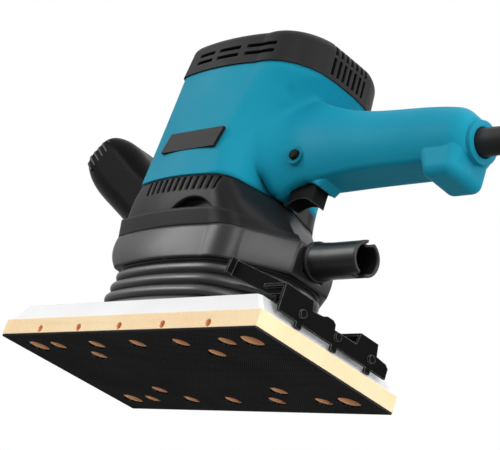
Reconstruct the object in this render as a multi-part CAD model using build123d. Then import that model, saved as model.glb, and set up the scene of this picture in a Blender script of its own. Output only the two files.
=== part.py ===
# Half-sheet orbital sander: pad, bellows, dust casing, motor housing with rear handle, front grip and cord.
# Millimetres. +X runs to the rear handle, +Y to the tool's right side, +Z up.
# The origin is the centre of the pad's working face.
from build123d import *
import os
from collections import namedtuple
from math import atan2, ceil, cos, degrees, dist, hypot, pi, radians, sin, tan

# Pad
pad_length = 229.0
pad_width = 115.6
pad_corner_radius = 0.8
hook_thickness = 1.2
hook_inset = 0.2
foam_thickness = 9.8
hole_pitch = 38.0
holes_per_row = 5
row_hole_y = 41.0
row_hole_diameter = 11.4
end_hole_x = 95.7
end_hole_diameter = 14.0
inner_hole_x = 53.2
inner_hole_y = 26.2
inner_hole_diameter = 11.4
edge_hole_diameter = 4.6
edge_hole_rise = 2.6

# Base plate
plate_thickness = 11.0
plate_inset = 1.5
plate_end_slope = 8.5
plate_side_slope = 2.8
plate_corner_cut = 2.0
chamber_depth = 5.0
chamber_rim = 6.0
chamber_island_radius = 25.0
dust_slot_length = 38.0
dust_slot_width = 8.0
dust_slot_y = 32.5

# Pad bearing and eccentric
orbit_offset = 2.4
pin_radius = 6.0
pad_bearing_radius = 16.0
pad_bearing_width = 10.0
pad_bearing_floor = 2.5
bearing_lip = 3.5
boss_wall = 6.0
retainer_thickness = 1.6
retainer_screw_count = 4
retainer_screw_radius = 1.6

# Paper clamps
clamp_sheet = 1.6
clamp_pin_radius = 2.0
clamp_pin_setback = 14.0
clamp_pin_rise = 4.2
clamp_wall = (
    (-46.5, 15.6),
    (44.5, 15.6),
    (44.5, 22.0),
    (42.0, 23.8),
    (33.5, 24.6),
    (32.0, 31.5),
    (17.0, 31.5),
    (15.5, 24.4),
    (-3.0, 24.0),
    (-3.6, 27.0),
    (-6.0, 28.4),
    (-11.0, 28.4),
    (-14.0, 27.0),
    (-22.5, 26.0),
    (-24.0, 31.5),
    (-46.5, 31.5),
)
clamp_tabs = ((-46.5, -24.0), (17.0, 32.0))
clamp_lugs = ((-19.0, -11.0), (4.0, 12.0))
clamp_lug_radius = 3.4
clamp_tooth_count = 3
clamp_tooth_pitch = 29.3
clamp_tooth_width = 4.6
clamp_tooth_drop = 3.0
clamp_stud_radius = 2.4
clamp_stud_height = 1.4
clamp_stud_drop = 0.8
clamp_gap = 0.35
lever_y = -43.5
lever_reach = 48.7
lever_lift = 17.8
lever_height = 9.4
lever_root_height = 5.0
lever_lip = 5.0

# Heights of the housing seams
leg_gap = 0.3
casing_floor = 53.5
casing_bulge = 68.0
casing_top = 74.5
band_top = 85.5
band_tail_drop = 6.5
lower_top = 110.0
cover_seam = 186.5
neck_drop = 26.5
neck_level = cover_seam - neck_drop
cover_rise = 26.0
cover_top = cover_seam + cover_rise

# Bellows
bellows_pleats = 4
bellows_fold = 3.4
bellows_wall = 2.4
bellows_flare = 4.5
bellows_inset = 1.6

# Dust casing
casing_wall = 3.0
fan_chamber_radius = 33.5
fan_chamber_roof = 2.5
outlet_half_width = 8.4
outlet_drop = 1.5
outlet_height = 12.0
inlet_radius = 22.0
inlet_plate_thickness = 2.0
inlet_plate_margin = 1.6

# Dust nozzle
nozzle_length = 38.5
nozzle_z = 68.6
nozzle_gap = 0.5
nozzle_root_radius = 11.3
nozzle_end_radius = 10.6
nozzle_bore_radius = 8.8
nozzle_plain_length = 24.0
nozzle_collar_radius = 11.9
nozzle_collar_length = 2.6
nozzle_notch_width = 5.0
nozzle_notch_depth = 5.5

# Lower housing
slot_count = 12
slot_pitch = 5.5
slot_width = 2.6
slot_height = 9.5
slot_first_x = -38.0
slot_cover = 1.2
scoop_radius = 22.7
scoop_x = 9.0
scoop_z = 71.3
scoop_depth = 5.0
fan_room_floor = 97.0
fan_room_wall = 4.0
tongue_top = 121.0
tongue_front_x = 12.0
tongue_rear_x = 39.0
tongue_left_y = 9.0
tongue_right_y = 52.0

# Motor housing and handle
motor_bore_radius = 37.0
# Handle sections from inside the barrel to the rear end.
# Each holds its X, then the level and half width at its foot, its middle and its crown.
Section = namedtuple("Section", "x foot_z foot_y middle_z middle_y crown_z crown_y")
handle_sections = (
    Section(20.0, 111.0, 22.0, 147.0, 35.0, cover_seam - 3.5, 24.0),
    Section(33.0, 111.0, 13.0, 147.0, 28.0, cover_seam - 5.5, 17.5),
    Section(43.0, 113.4, 9.5, 146.0, 21.5, cover_seam - 9.0, 13.0),
    Section(57.0, 118.0, 9.5, 145.0, 19.0, cover_seam - 14.5, 11.5),
    Section(74.0, 119.6, 10.0, 143.5, 19.2, 166.0, 11.0),
    Section(90.0, 120.6, 11.0, 141.8, 19.5, 161.9, 11.0),
    Section(130.0, 121.0, 11.5, 139.2, 18.7, 157.6, 11.0),
    Section(162.0, 121.0, 11.5, 137.4, 18.5, 154.3, 10.5),
    Section(172.0, 122.0, 11.0, 136.6, 17.3, 151.6, 9.5),
    Section(177.0, 125.0, 8.0, 136.2, 13.5, 147.2, 7.0),
)
handle_rounding = 4.0
skirt_half_width = 8.6
skirt_profile = (
    (24.0, 110.2),
    (40.0, 110.2),
    (44.5, 115.3),
    (70.5, 115.3),
    (76.5, 121.5),
    (76.5, 128.0),
    (24.0, 128.0),
)
skirt_rounding = 2.0
arch_x = 57.5
arch_z = 118.8
arch_radius = 24.7
grip_end_x = 176.0
grip_floor = 121.0
heel_front_x = 146.0
heel_floor = 110.0
heel_slope = 9.0
heel_width = 31.0
heel_rounding = 6.0

# Trigger, lock button and switch
trigger_front_x = 45.6
trigger_length = 21.6
trigger_half_width = 5.6
trigger_floor = 106.0
trigger_roof = 126.0
trigger_travel = 5.5
trigger_gap = 0.4
trigger_scoop_radius = 16.5
trigger_scoop_depth = 3.4
trigger_rounding = 1.5
lock_x = 53.6
lock_z = 132.2
lock_wall_y = 16.2
lock_radius = 3.2
lock_stand_out = 2.6
lock_travel = 2.4
lock_tip_radius = 2.0
lock_tip_length = 2.2
lock_collar_radius = 5.6
lock_collar_height = 1.4
lock_collar_root = 3.0
lock_head_radius = 5.0
lock_head_length = 2.0
lock_fit = 0.08
switch_front_x = 44.0
switch_length = 34.0
switch_half_width = 11.0
switch_floor = 138.0
switch_height = 17.0
switch_plunger_radius = 3.0
switch_fit = 0.25

# Cord guard and cord
guard_z = 135.0
guard_length = 46.0
guard_root_radius = 8.6
guard_end_radius = 6.4
guard_flange_radius = 10.5
guard_flange_length = 5.0
guard_socket_depth = 16.0
guard_ring_count = 5
guard_ring_width = 2.2
guard_ring_depth = 1.0
guard_plain_length = 24.0
guard_collar_radius = 12.4
guard_collar_length = 4.0
cord_radius = 4.0
cord_fit = 0.15
cord_clamp_x = 140.0
cord_clamp_length = 12.0
cord_clamp_half_width = 12.0
cord_clamp_rise = 8.0
bend_share = 0.45

# Free cord, with its points chosen by hand from the guard to the top of the coil
cord_route = [
    (206.0, 0.0, 135.0),
    (228.5, 0.0, 135.0),
    (247.0, -4.9, 126.4),
    (258.8, -13.5, 111.3),
    (263.7, -30.6, 81.2),
    (273.3, -47.2, 51.9),
    (287.9, -54.7, 38.8),
    (307.9, -58.0, 33.0),
    (322.0, -58.0, 33.0),
]
coil_outer_radius = 52.0
coil_turn_pitch = 10.0
coil_layers = 4
coil_half_turns_per_layer = 3
coil_layer_step = 9.0
tail_steps = [(-12.0, 0.0, 0.0), (-24.0, 1.5, 0.5), (-36.0, 4.0, 1.0), (-50.0, 6.8, 1.0)]
tie_width = 14.0
tie_thickness = 1.1
tie_gap = 0.8
plug_length = 44.0
plug_width = 32.0
plug_height = 25.0
plug_rounding = 6.0
plug_nose = 20.0
plug_nose_radius = 7.5
plug_nose_end_radius = 5.6
plug_socket_depth = 8.0
plug_pin_radius = 2.4
plug_pin_length = 19.0
plug_pin_pitch = 19.0

# Front grip: upper and lower side points of its sections, from inside the housing out to its end
knob_sections = (
    ((-44.0, 121.0), (-62.0, 81.0)),
    ((-62.0, 130.0), (-85.0, 94.5)),
    ((-98.0, 150.0), (-123.0, 118.5)),
    ((-126.0, 168.0), (-151.0, 138.5)),
    ((-141.0, 172.5), (-160.0, 150.5)),
)
knob_end_rounding = 8.0
knob_fit = 0.12
grip_half_width = 21.0
grip_edge_rounding = 13.0
grip_rib_count = 5
grip_rib_pitch = 4.2
grip_rib_depth = 1.2
grip_rib_height = 1.8
grip_rib_half_width = 11.0
grip_bolt_radius = 2.5
grip_bolt_head_radius = 4.4
grip_bolt_head_length = 3.0
grip_bolt_length = 34.0
grip_bolt_y = 12.0
grip_bolt_z = 103.5

# Top cover
cover_wall = 3.0
cover_taper = 4.0
cover_rounding = 9.0
cover_steps = 4
cover_lip = 1.0
side_slot_rows = (cover_seam + 7.3, cover_seam + 12.9)
side_slot_centres = (-26.0, -4.5, 22.0)
side_slot_lengths = (15.0, 19.0, 24.0)
side_slot_height = 2.6
rear_slot_count = 7
rear_slot_pitch = 4.6
rear_slot_width = 2.4
rear_slot_low = cover_seam + 3.0
rear_slot_high = cover_seam + 15.0
rear_slot_tier = cover_seam + 17.0
rear_slot_roof = cover_top + 1.5
cover_post_radius = 5.0
cover_post_front = (-36.0, 30.0)
cover_post_rear = (39.0, 27.0)

# Bare name plate on the left side
badge_x = -10.0
badge_z = 134.5
badge_length = 52.0
badge_height = 13.0
badge_thickness = 1.0
badge_stand_out = 0.6
badge_shear = 8.0

# Motor
shaft_radius = 7.5
shaft_upper_radius = 6.0
shaft_top_radius = 4.0
shaft_step_z = cover_seam - 14.5
shaft_neck_z = cover_seam + 5.0
shaft_top_z = cover_seam + 15.0
shaft_fit = 0.02
flange_low = 33.4
flange_radius = 11.0
running_fit = 0.05
stator_low = 120.0
stator_high = cover_seam - 20.5
stator_radius = 36.8
stator_yoke = 6.0
stator_pole_radius = 21.6
stator_pole_angle = 52.0
coil_end_height = 6.0
coil_inner_radius = 23.0
coil_outer_ring = 30.4
coil_angle = 76.0
coil_gap = 0.3
core_radius = 20.8
core_low = stator_low + 2.0
core_high = stator_high - 2.0
core_slots = 12
core_slot_width = 2.6
core_slot_depth = 5.0
winding_radius = 18.6
winding_height = 7.5
commutator_radius = 12.5
commutator_low = cover_seam - 13.0
commutator_high = cover_seam + 1.5
commutator_bars = 12
commutator_slot = 0.8
commutator_slot_depth = 1.2
lower_bearing_low = 84.0
lower_bearing_width = 11.0
lower_bearing_radius = 17.0
upper_bearing_low = cover_seam + 6.5
upper_bearing_width = 7.0
upper_bearing_radius = 11.0
bearing_race = 3.0
bearing_groove = 0.8
bracket_radius = 41.5
bracket_thickness = 3.0
bracket_cup_wall = 4.5
bracket_cup_roof = 2.5
brush_z = cover_seam - 6.0
brush_width = 6.4
brush_height = 8.0
brush_length = 14.0
brush_gap = 0.3
holder_wall = 1.4
brush_fit = 0.1
holder_length = 20.0
brush_spring_radius = 2.6
fan_low = 98.5
fan_height = 9.5
fan_radius = 30.5
fan_blades = 9
fan_disc = 2.0
fan_blade_thickness = 1.8
fan_hub_radius = 12.0
dust_fan_low = 56.5
dust_fan_height = 13.0
dust_fan_radius = 30.0
dust_fan_blades = 8
weight_low = 36.0
weight_height = 10.0
weight_hub_radius = 13.0
weight_radius = 30.0
weight_half_angle = 70.0
leg_radius = 8.0
leg_waist = 6.2
leg_places = ((-36.0, 27.0), (40.0, 25.0))
leg_collar = 5.0

# Screws
screw_radius = 2.0
screw_head_radius = 3.8
screw_head_length = 3.0
screw_fit = 0.15
body_screw_seat = 26.0
body_screw_places = ((-45.5, lower_top + 8.0), (-42.6, cover_seam - 8.5))
handle_screw_seat = 9.0
handle_screw_places = ((47.0, cover_seam - 23.5), (85.5, 127.0), (104.0, 152.0), (162.0, 116.5))
handle_screw_tip = -10.0
body_screw_tip = -26.0
casing_screw_places = ((0.0, 39.6), (-47.0, 18.0), (55.0, 22.0))
casing_screw_top = 82.0
cover_screw_tip = cover_seam - 14.5
cover_screw_seat = cover_top - 8.5

# Levels that follow from the sizes above
pad_thickness = hook_thickness + foam_thickness
plate_top = pad_thickness + plate_thickness
chamber_roof = pad_thickness + chamber_depth
pad_bearing_low = plate_top - pad_bearing_floor
pad_bearing_high = pad_bearing_low + pad_bearing_width
boss_top = pad_bearing_high
boss_radius = pad_bearing_radius + boss_wall
clamp_pin_z = plate_top + clamp_pin_rise
clamp_pin_x = pad_length / 2 - clamp_pin_setback
bellows_low = plate_top + leg_gap
casing_roof = casing_top - fan_chamber_roof
trigger_rear_x = trigger_front_x + trigger_length
lock_stop_y = -trigger_half_width - trigger_gap
lock_head_y = lock_stop_y - lock_travel - lock_fit
switch_rear_x = switch_front_x + switch_length
switch_roof = switch_floor + switch_height
guard_end_x = grip_end_x + guard_length
coil_centre_x = cord_route[-1][0]
coil_centre_y = cord_route[-1][1] + coil_outer_radius
coil_top_z = cord_route[-1][2]

# Plan outline of the housing at one height.
# It has a straight front, bowed flanks, a rounded shoulder and a short tail.
Plan = namedtuple(
    "Plan", "front_x front_y flank_x flank_y turn_x turn_y shoulder_x shoulder_y tail_x tail_y bulge"
)
cover_plan = Plan(-47.0, 42.0, -8.0, 45.7, 22.0, 43.2, 57.0, 20.0, 58.5, 9.0, 7.5)
neck_plan = Plan(-49.0, 41.6, -6.0, 45.6, 16.0, 43.4, 36.0, 26.0, 42.0, 9.0, 4.6)
waist_plan = Plan(-54.0, 40.6, -4.0, 45.6, 17.0, 43.4, 31.0, 28.0, 36.5, 9.0, 3.8)
band_plan = Plan(-58.5, 38.6, -8.0, 44.6, 26.0, 42.8, 46.0, 33.0, 64.0, 11.0, 3.0)
hem_plan = Plan(-61.0, 39.0, -8.0, 45.4, 30.0, 43.6, 53.0, 35.0, 79.0, 15.0, 3.0)
bulge_plan = Plan(-62.0, 39.0, -8.0, 46.0, 30.0, 44.0, 53.5, 35.5, 80.0, 16.0, 3.0)
floor_plan = Plan(-54.0, 39.0, -6.0, 45.4, 32.0, 43.8, 54.0, 35.0, 80.0, 16.0, 3.0)
front_corner_radius = 6.0


def grown(plan, amount):
    # the same outline moved outwards by the amount
    lean = amount * cos(radians(45))
    return Plan(
        plan.front_x - amount,
        plan.front_y + lean,
        plan.flank_x,
        plan.flank_y + amount,
        plan.turn_x + lean / 2,
        plan.turn_y + amount,
        plan.shoulder_x + lean,
        plan.shoulder_y + lean,
        plan.tail_x + amount,
        plan.tail_y + lean / 2,
        plan.bulge,
    )


def plan_face(plan, z):
    def half(sign):
        front = (plan.front_x, sign * plan.front_y)
        flank = (plan.flank_x, sign * plan.flank_y)
        turn = (plan.turn_x, sign * plan.turn_y)
        shoulder = (plan.shoulder_x, sign * plan.shoulder_y)
        tail = (plan.tail_x, sign * plan.tail_y)
        run_x = plan.shoulder_x - plan.turn_x
        run_y = plan.turn_y - plan.shoulder_y
        chord = hypot(run_x, run_y)
        crown = (
            (plan.turn_x + plan.shoulder_x) / 2 + plan.bulge * run_y / chord,
            sign * ((plan.turn_y + plan.shoulder_y) / 2 + plan.bulge * run_x / chord),
        )
        return [
            ThreePointArc(front, flank, turn),
            ThreePointArc(turn, crown, shoulder),
            Line(shoulder, tail),
        ]

    front_edge = Line((plan.front_x, plan.front_y), (plan.front_x, -plan.front_y))
    tail_edge = Line((plan.tail_x, -plan.tail_y), (plan.tail_x, plan.tail_y))
    face = make_face([front_edge, *half(-1), tail_edge, *half(1)])
    corners = face.vertices().group_by(Axis.X)[0]
    return Pos(0, 0, z) * fillet(corners, front_corner_radius)


def rod(radius, low, high, x=0.0, y=0.0):
    return Pos(x, y, (low + high) / 2) * Cylinder(radius, high - low)


def rod_x(radius, low, high, y, z):
    return Pos((low + high) / 2, y, z) * Rot(0, 90, 0) * Cylinder(radius, high - low)


def rod_y(radius, low, high, x, z):
    return Pos(x, (low + high) / 2, z) * Rot(90, 0, 0) * Cylinder(radius, high - low)


def block(x_low, x_high, y_low, y_high, z_low, z_high):
    centre = Pos((x_low + x_high) / 2, (y_low + y_high) / 2, (z_low + z_high) / 2)
    return centre * Box(x_high - x_low, y_high - y_low, z_high - z_low)


def side_prism(points, y_low, y_high):
    # a side profile, given in X and Z, carried across from y_low to y_high
    face = make_face(Polyline([(x, 0, z) for x, z in points], close=True))
    return Pos(0, y_low, 0) * extrude(face, y_high - y_low, dir=(0, 1, 0))


def sector(inner, outer, low, high, start, sweep_angle):
    # part of a ring from one angle, over a sweep, in degrees
    angles = (start, start + sweep_angle / 2, start + sweep_angle)
    far = [(outer * cos(radians(a)), outer * sin(radians(a))) for a in angles]
    near = [(inner * cos(radians(a)), inner * sin(radians(a))) for a in angles]
    face = make_face(
        [
            ThreePointArc(*far),
            Line(far[2], near[2]),
            ThreePointArc(near[2], near[1], near[0]),
            Line(near[0], far[0]),
        ]
    )
    return Pos(0, 0, low) * extrude(face, high - low)


def both_sides(places):
    return [(x, sign * y) for x, y in places for sign in (1, -1)]


def pad_holes():
    # centre and diameter of every dust hole
    reach = (holes_per_row - 1) / 2
    holes = []
    for side in (1, -1):
        for index in range(holes_per_row):
            holes.append(((index - reach) * hole_pitch, side * row_hole_y, row_hole_diameter))
        for end in (1, -1):
            holes.append((end * end_hole_x, side * row_hole_y, end_hole_diameter))
            holes.append((end * inner_hole_x, side * inner_hole_y, inner_hole_diameter))
    return holes


def drill_pad(solid, low, high):
    for x, y, diameter in pad_holes():
        solid -= rod(diameter / 2, low, high, x, y)
    return solid


def hook_face():
    sheet = RectangleRounded(pad_length - 2 * hook_inset, pad_width - 2 * hook_inset, pad_corner_radius)
    return drill_pad(extrude(sheet, hook_thickness), 0, hook_thickness)


def pad_foam():
    sheet = RectangleRounded(pad_length, pad_width, pad_corner_radius)
    foam = Pos(0, 0, hook_thickness) * extrude(sheet, foam_thickness)
    foam = drill_pad(foam, hook_thickness, pad_thickness)
    reach = (holes_per_row - 1) / 2
    for index in range(holes_per_row):
        x = (index - reach) * hole_pitch
        for side in (1, -1):
            low, high = sorted((side * row_hole_y, side * pad_width / 2))
            foam -= rod_y(edge_hole_diameter / 2, low, high, x, hook_thickness + edge_hole_rise)
    return foam


def plate_outline(length, width, z):
    corner = plate_corner_cut
    half_x, half_y = length / 2, width / 2
    points = [
        (half_x, half_y - corner),
        (half_x - corner, half_y),
        (corner - half_x, half_y),
        (-half_x, half_y - corner),
        (-half_x, corner - half_y),
        (corner - half_x, -half_y),
        (half_x - corner, -half_y),
        (half_x, corner - half_y),
    ]
    return Pos(0, 0, z) * make_face(Polyline(points, close=True))


def base_plate():
    low_length = pad_length - 2 * plate_inset
    low_width = pad_width - 2 * plate_inset
    top_length = low_length - 2 * plate_end_slope
    top_width = low_width - 2 * plate_side_slope
    low = plate_outline(low_length, low_width, pad_thickness)
    top = plate_outline(top_length, top_width, plate_top)
    plate = loft([low, top], ruled=True)
    plate += rod(boss_radius, plate_top, boss_top, orbit_offset)
    for end in (1, -1):
        for low_y, high_y in (sorted((end * a, end * b)) for a, b in clamp_lugs):
            lug = rod_y(clamp_lug_radius, low_y, high_y, end * clamp_pin_x, clamp_pin_z)
            foot_low = end * clamp_pin_x - clamp_lug_radius
            foot_high = end * clamp_pin_x + clamp_lug_radius
            plate += lug + block(foot_low, foot_high, low_y, high_y, plate_top, clamp_pin_z)
            plate -= rod_y(clamp_pin_radius + shaft_fit, low_y, high_y, end * clamp_pin_x, clamp_pin_z)
    rim = plate_inset + chamber_rim
    chamber = block(
        rim - pad_length / 2, pad_length / 2 - rim, rim - pad_width / 2, pad_width / 2 - rim,
        pad_thickness, chamber_roof,
    )
    plate -= chamber - rod(chamber_island_radius, pad_thickness, chamber_roof, orbit_offset)
    for side in (1, -1):
        slot = SlotOverall(dust_slot_length, dust_slot_width)
        plate -= Pos(0, side * dust_slot_y, chamber_roof) * extrude(slot, plate_top - chamber_roof)
    plate -= rod(pad_bearing_radius + shaft_fit, pad_bearing_low, boss_top, orbit_offset)
    plate -= rod(pad_bearing_radius - bearing_lip, pad_thickness, pad_bearing_low, orbit_offset)
    return plate


def ball_bearing(bore_radius, outer_radius, low, width):
    # two races with a shallow groove between them on each face
    ring = rod(outer_radius, low, low + width) - rod(bore_radius, low, low + width)
    groove = rod(outer_radius - bearing_race, low, low + bearing_groove)
    groove -= rod(bore_radius + bearing_race, low, low + bearing_groove)
    return ring - groove - Pos(0, 0, width - bearing_groove) * groove


def pad_bearing():
    return Pos(orbit_offset, 0, 0) * ball_bearing(
        pin_radius + running_fit, pad_bearing_radius, pad_bearing_low, pad_bearing_width
    )


def retainer_screw_places():
    radius = (pad_bearing_radius + boss_radius) / 2 + bearing_groove
    step = 360 / retainer_screw_count
    angles = [radians(step * (index + 0.5)) for index in range(retainer_screw_count)]
    return [(orbit_offset + radius * cos(angle), radius * sin(angle)) for angle in angles]


def bearing_retainer():
    high = boss_top + retainer_thickness
    ring = rod(boss_radius, boss_top, high, orbit_offset)
    ring -= rod(pad_bearing_radius - bearing_lip, boss_top, high, orbit_offset)
    for x, y in retainer_screw_places():
        ring -= rod(retainer_screw_radius + screw_fit, boss_top, high, x, y)
    return ring


def across_prism(points, x_low, x_high):
    # an end profile, given in Y and Z, carried from x_low to x_high
    face = make_face(Polyline([(0, y, z) for y, z in points], close=True))
    return Pos(x_low, 0, 0) * extrude(face, x_high - x_low, dir=(1, 0, 0))


def paper_clamp():
    # a stamped wall behind the pad, with teeth below, folded tabs above and an ear under each tab
    back = pad_length / 2 - clamp_gap
    inner = back - clamp_sheet
    front = clamp_pin_x - clamp_lug_radius
    wall_low = clamp_wall[0][1]
    tab_top = clamp_wall[-1][1]
    clamp = across_prism(clamp_wall, inner, back)
    for low_y, high_y in clamp_tabs:
        clamp += block(front, back, low_y, high_y, tab_top - clamp_sheet, tab_top)
        middle = (low_y + high_y) / 2
        ear_low, ear_high = middle - clamp_sheet / 2, middle + clamp_sheet / 2
        ear = block(front, clamp_pin_x + clamp_lug_radius, ear_low, ear_high, clamp_pin_z, tab_top)
        ear += rod_y(clamp_lug_radius, ear_low, ear_high, clamp_pin_x, clamp_pin_z)
        clamp += ear
        clamp -= rod_y(clamp_pin_radius + running_fit, ear_low, ear_high, clamp_pin_x, clamp_pin_z)
    reach = (clamp_tooth_count - 1) / 2
    half = clamp_tooth_width / 2
    for index in range(clamp_tooth_count):
        y = (index - reach) * clamp_tooth_pitch
        clamp += rod_x(clamp_stud_radius, inner, back + clamp_stud_height, y, plate_top - clamp_stud_drop)
        clamp += block(inner, back, y - half, y + half, wall_low - clamp_tooth_drop, wall_low)
    return clamp


def clamp_lever():
    # the arm that rises forwards beside the bellows and ends in a thumb lip
    back = pad_length / 2 - clamp_gap
    tip = back - lever_reach
    low = clamp_pin_z
    profile = [
        (back, low),
        (back, low + lever_root_height),
        (tip, low + lever_lift + lever_root_height),
        (tip - clamp_sheet, low + lever_lift + lever_root_height - lever_height),
        (clamp_pin_x, low),
    ]
    arm = side_prism(profile, lever_y - clamp_sheet / 2, lever_y + clamp_sheet / 2)
    lip_top = low + lever_lift + lever_root_height
    lip_profile = [
        (tip, lip_top),
        (tip + clamp_sheet, lip_top),
        (tip, lip_top - lever_height),
        (tip - clamp_sheet, lip_top - lever_height),
    ]
    arm += side_prism(lip_profile, lever_y - lever_lip, lever_y)
    return arm


def rear_clamp():
    return paper_clamp() + clamp_lever()


def front_clamp():
    return Rot(0, 0, 180) * (paper_clamp() + clamp_lever())


def clamp_pin(end):
    ears = [end * (low_y + high_y) / 2 for low_y, high_y in clamp_tabs]
    return rod_y(
        clamp_pin_radius, min(ears) - clamp_sheet, max(ears) + clamp_sheet, end * clamp_pin_x, clamp_pin_z
    )


def bellows_levels():
    # heights and outward offsets of the folds, from the base plate up to the casing
    pitch = (casing_floor - bellows_low) / bellows_pleats
    levels = [(bellows_low, bellows_flare)]
    for index in range(bellows_pleats):
        low = bellows_low + index * pitch
        flare = bellows_flare * (1 - index / bellows_pleats)
        levels.append((low + pitch * 0.22, flare))
        levels.append((low + pitch * 0.62, flare))
        levels.append((low + pitch * 0.86, flare - bellows_fold))
    levels.append((casing_floor, -bellows_fold))
    return levels


def bellows():
    skin = [plan_face(grown(floor_plan, flare - bellows_inset), z) for z, flare in bellows_levels()]
    inside = [
        plan_face(grown(floor_plan, flare - bellows_inset - bellows_wall), z)
        for z, flare in bellows_levels()
    ]
    return loft(skin, ruled=True) - loft(inside, ruled=True)


def rubber_legs():
    legs = Part()
    for x, y in both_sides(leg_places):
        leg = rod(leg_waist, bellows_low, casing_floor, x, y)
        leg += rod(leg_radius, bellows_low, bellows_low + leg_collar, x, y)
        leg += rod(leg_radius, casing_floor - leg_collar, casing_floor, x, y)
        legs += leg
    return legs


def dust_casing():
    shell = loft(
        [
            plan_face(floor_plan, casing_floor),
            plan_face(bulge_plan, casing_bulge),
            plan_face(hem_plan, casing_top),
        ]
    )
    shell -= rod(fan_chamber_radius, casing_floor, casing_roof)
    shell -= block(
        0, floor_plan.tail_x + casing_wall, -outlet_half_width, outlet_half_width,
        casing_roof - outlet_drop - outlet_height, casing_roof - outlet_drop,
    )
    shell -= rod(shaft_radius + casing_wall, casing_roof, casing_top)
    for x, y in both_sides(casing_screw_places):
        shell -= rod(screw_radius + screw_fit, casing_floor, casing_top, x, y)
        shell -= rod(screw_head_radius + screw_fit, casing_floor, casing_floor + screw_head_length, x, y)
    return shell


def inlet_ring():
    low = casing_floor - inlet_plate_thickness
    ring = rod(fan_chamber_radius + inlet_plate_margin, low, casing_floor)
    return ring - rod(inlet_radius, low, casing_floor)


def dust_nozzle():
    start = bulge_plan.tail_x + nozzle_gap
    end = start + nozzle_length
    plain = end - nozzle_plain_length
    tube = rod_x(nozzle_collar_radius, start, start + nozzle_collar_length, 0, nozzle_z)
    taper = Pos((start + plain) / 2, 0, nozzle_z) * Rot(0, 90, 0)
    tube += taper * Cone(nozzle_root_radius, nozzle_end_radius, plain - start)
    tube += rod_x(nozzle_end_radius, plain, end, 0, nozzle_z)
    tube -= rod_x(nozzle_bore_radius, start, end, 0, nozzle_z)
    half = nozzle_notch_width / 2
    notch_low = nozzle_z - nozzle_end_radius
    notch_high = nozzle_z + nozzle_end_radius
    return tube - block(end - nozzle_notch_depth, end, -half, half, notch_low, notch_high)


def barrel_form():
    return loft(
        [
            plan_face(waist_plan, lower_top),
            plan_face(neck_plan, neck_level),
            plan_face(cover_plan, cover_seam),
        ]
    )


def rear_tongue():
    # where the lower housing rises behind the motor, under the root of the handle
    return block(
        tongue_front_x, tongue_rear_x, tongue_left_y, tongue_right_y, lower_top, tongue_top
    )


def lower_housing():
    wall = loft(
        [
            plan_face(grown(hem_plan, -casing_wall), casing_top),
            plan_face(band_plan, band_top),
            plan_face(grown(waist_plan, -cover_lip), lower_top),
        ]
    )
    band = loft([plan_face(hem_plan, casing_top), plan_face(grown(band_plan, casing_wall), band_top)])
    slope_start = band_plan.turn_x
    slope_end = hem_plan.tail_x + casing_wall
    band -= side_prism(
        [(slope_start, band_top), (slope_end, band_top), (slope_end, band_top - band_tail_drop)],
        -pad_width / 2, pad_width / 2,
    )
    wall += band
    scoop_high = band_plan.flank_y + casing_wall
    for side in (1, -1):
        low, high = sorted((side * (band_plan.flank_y - scoop_depth), side * scoop_high))
        wall -= rod_y(scoop_radius, low, high, scoop_x, scoop_z) & block(
            scoop_x - scoop_radius, scoop_x + scoop_radius, low, high, band_top, scoop_z + scoop_radius
        )
    room = plan_face(grown(waist_plan, -fan_room_wall), fan_room_floor)
    wall -= extrude(room, lower_top - fan_room_floor)
    slot_high = lower_top - slot_cover
    for index in range(slot_count):
        x = slot_first_x + index * slot_pitch
        wall -= block(
            x - slot_width / 2, x + slot_width / 2, -pad_width / 2, pad_width / 2,
            slot_high - slot_height, slot_high,
        )
    wall += (barrel_form() & rear_tongue()) - rod(motor_bore_radius, lower_top, tongue_top)
    wall -= rod(lower_bearing_radius + shaft_fit, lower_bearing_low, fan_room_floor)
    wall -= rod(lower_bearing_radius - bearing_lip, casing_top, lower_bearing_low)
    for x, y in both_sides(casing_screw_places):
        wall -= rod(screw_radius + screw_fit, casing_top, casing_screw_top, x, y)
    for side in (1, -1):
        wall -= rod_x(
            grip_bolt_radius + screw_fit, 2 * waist_plan.front_x, waist_plan.front_x / 2,
            side * grip_bolt_y, grip_bolt_z,
        )
    return wall


def handle_face(section):
    foot = (section.foot_y, section.foot_z)
    middle = (section.middle_y, section.middle_z)
    crown = (section.crown_y, section.crown_z)

    def at(point, side):
        return (section.x, side * point[0], point[1])

    face = make_face(
        [
            ThreePointArc(at(foot, 1), at(middle, 1), at(crown, 1)),
            Line(at(crown, 1), at(crown, -1)),
            ThreePointArc(at(crown, -1), at(middle, -1), at(foot, -1)),
            Line(at(foot, -1), at(foot, 1)),
        ]
    )
    return fillet(face.vertices(), handle_rounding)


def handle_solid():
    grip = loft([handle_face(section) for section in handle_sections])
    skirt = side_prism(skirt_profile, -skirt_half_width, skirt_half_width)
    skirt = fillet(
        [e for f in skirt.faces().filter_by(Axis.Y) for e in f.edges() if e.center().X > skirt_profile[3][0]],
        skirt_rounding,
    )
    skirt -= rod_y(arch_radius, -skirt_half_width, skirt_half_width, arch_x, arch_z - arch_radius)
    heel = side_prism(
        [
            (heel_front_x, grip_floor + heel_rounding),
            (heel_front_x + heel_slope, heel_floor),
            (grip_end_x, heel_floor),
            (grip_end_x, grip_floor + 2 * heel_rounding),
            (heel_front_x, grip_floor + 2 * heel_rounding),
        ],
        -heel_width / 2, heel_width / 2,
    )
    heel = fillet(
        [e for e in heel.edges() if e.center().Z < grip_floor + heel_rounding], heel_rounding
    )
    collar_start = grip_end_x - 2 * guard_collar_length
    collar = rod_x(guard_collar_radius, collar_start, grip_end_x + guard_collar_length, 0, guard_z)
    return grip + skirt + heel + collar


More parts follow.
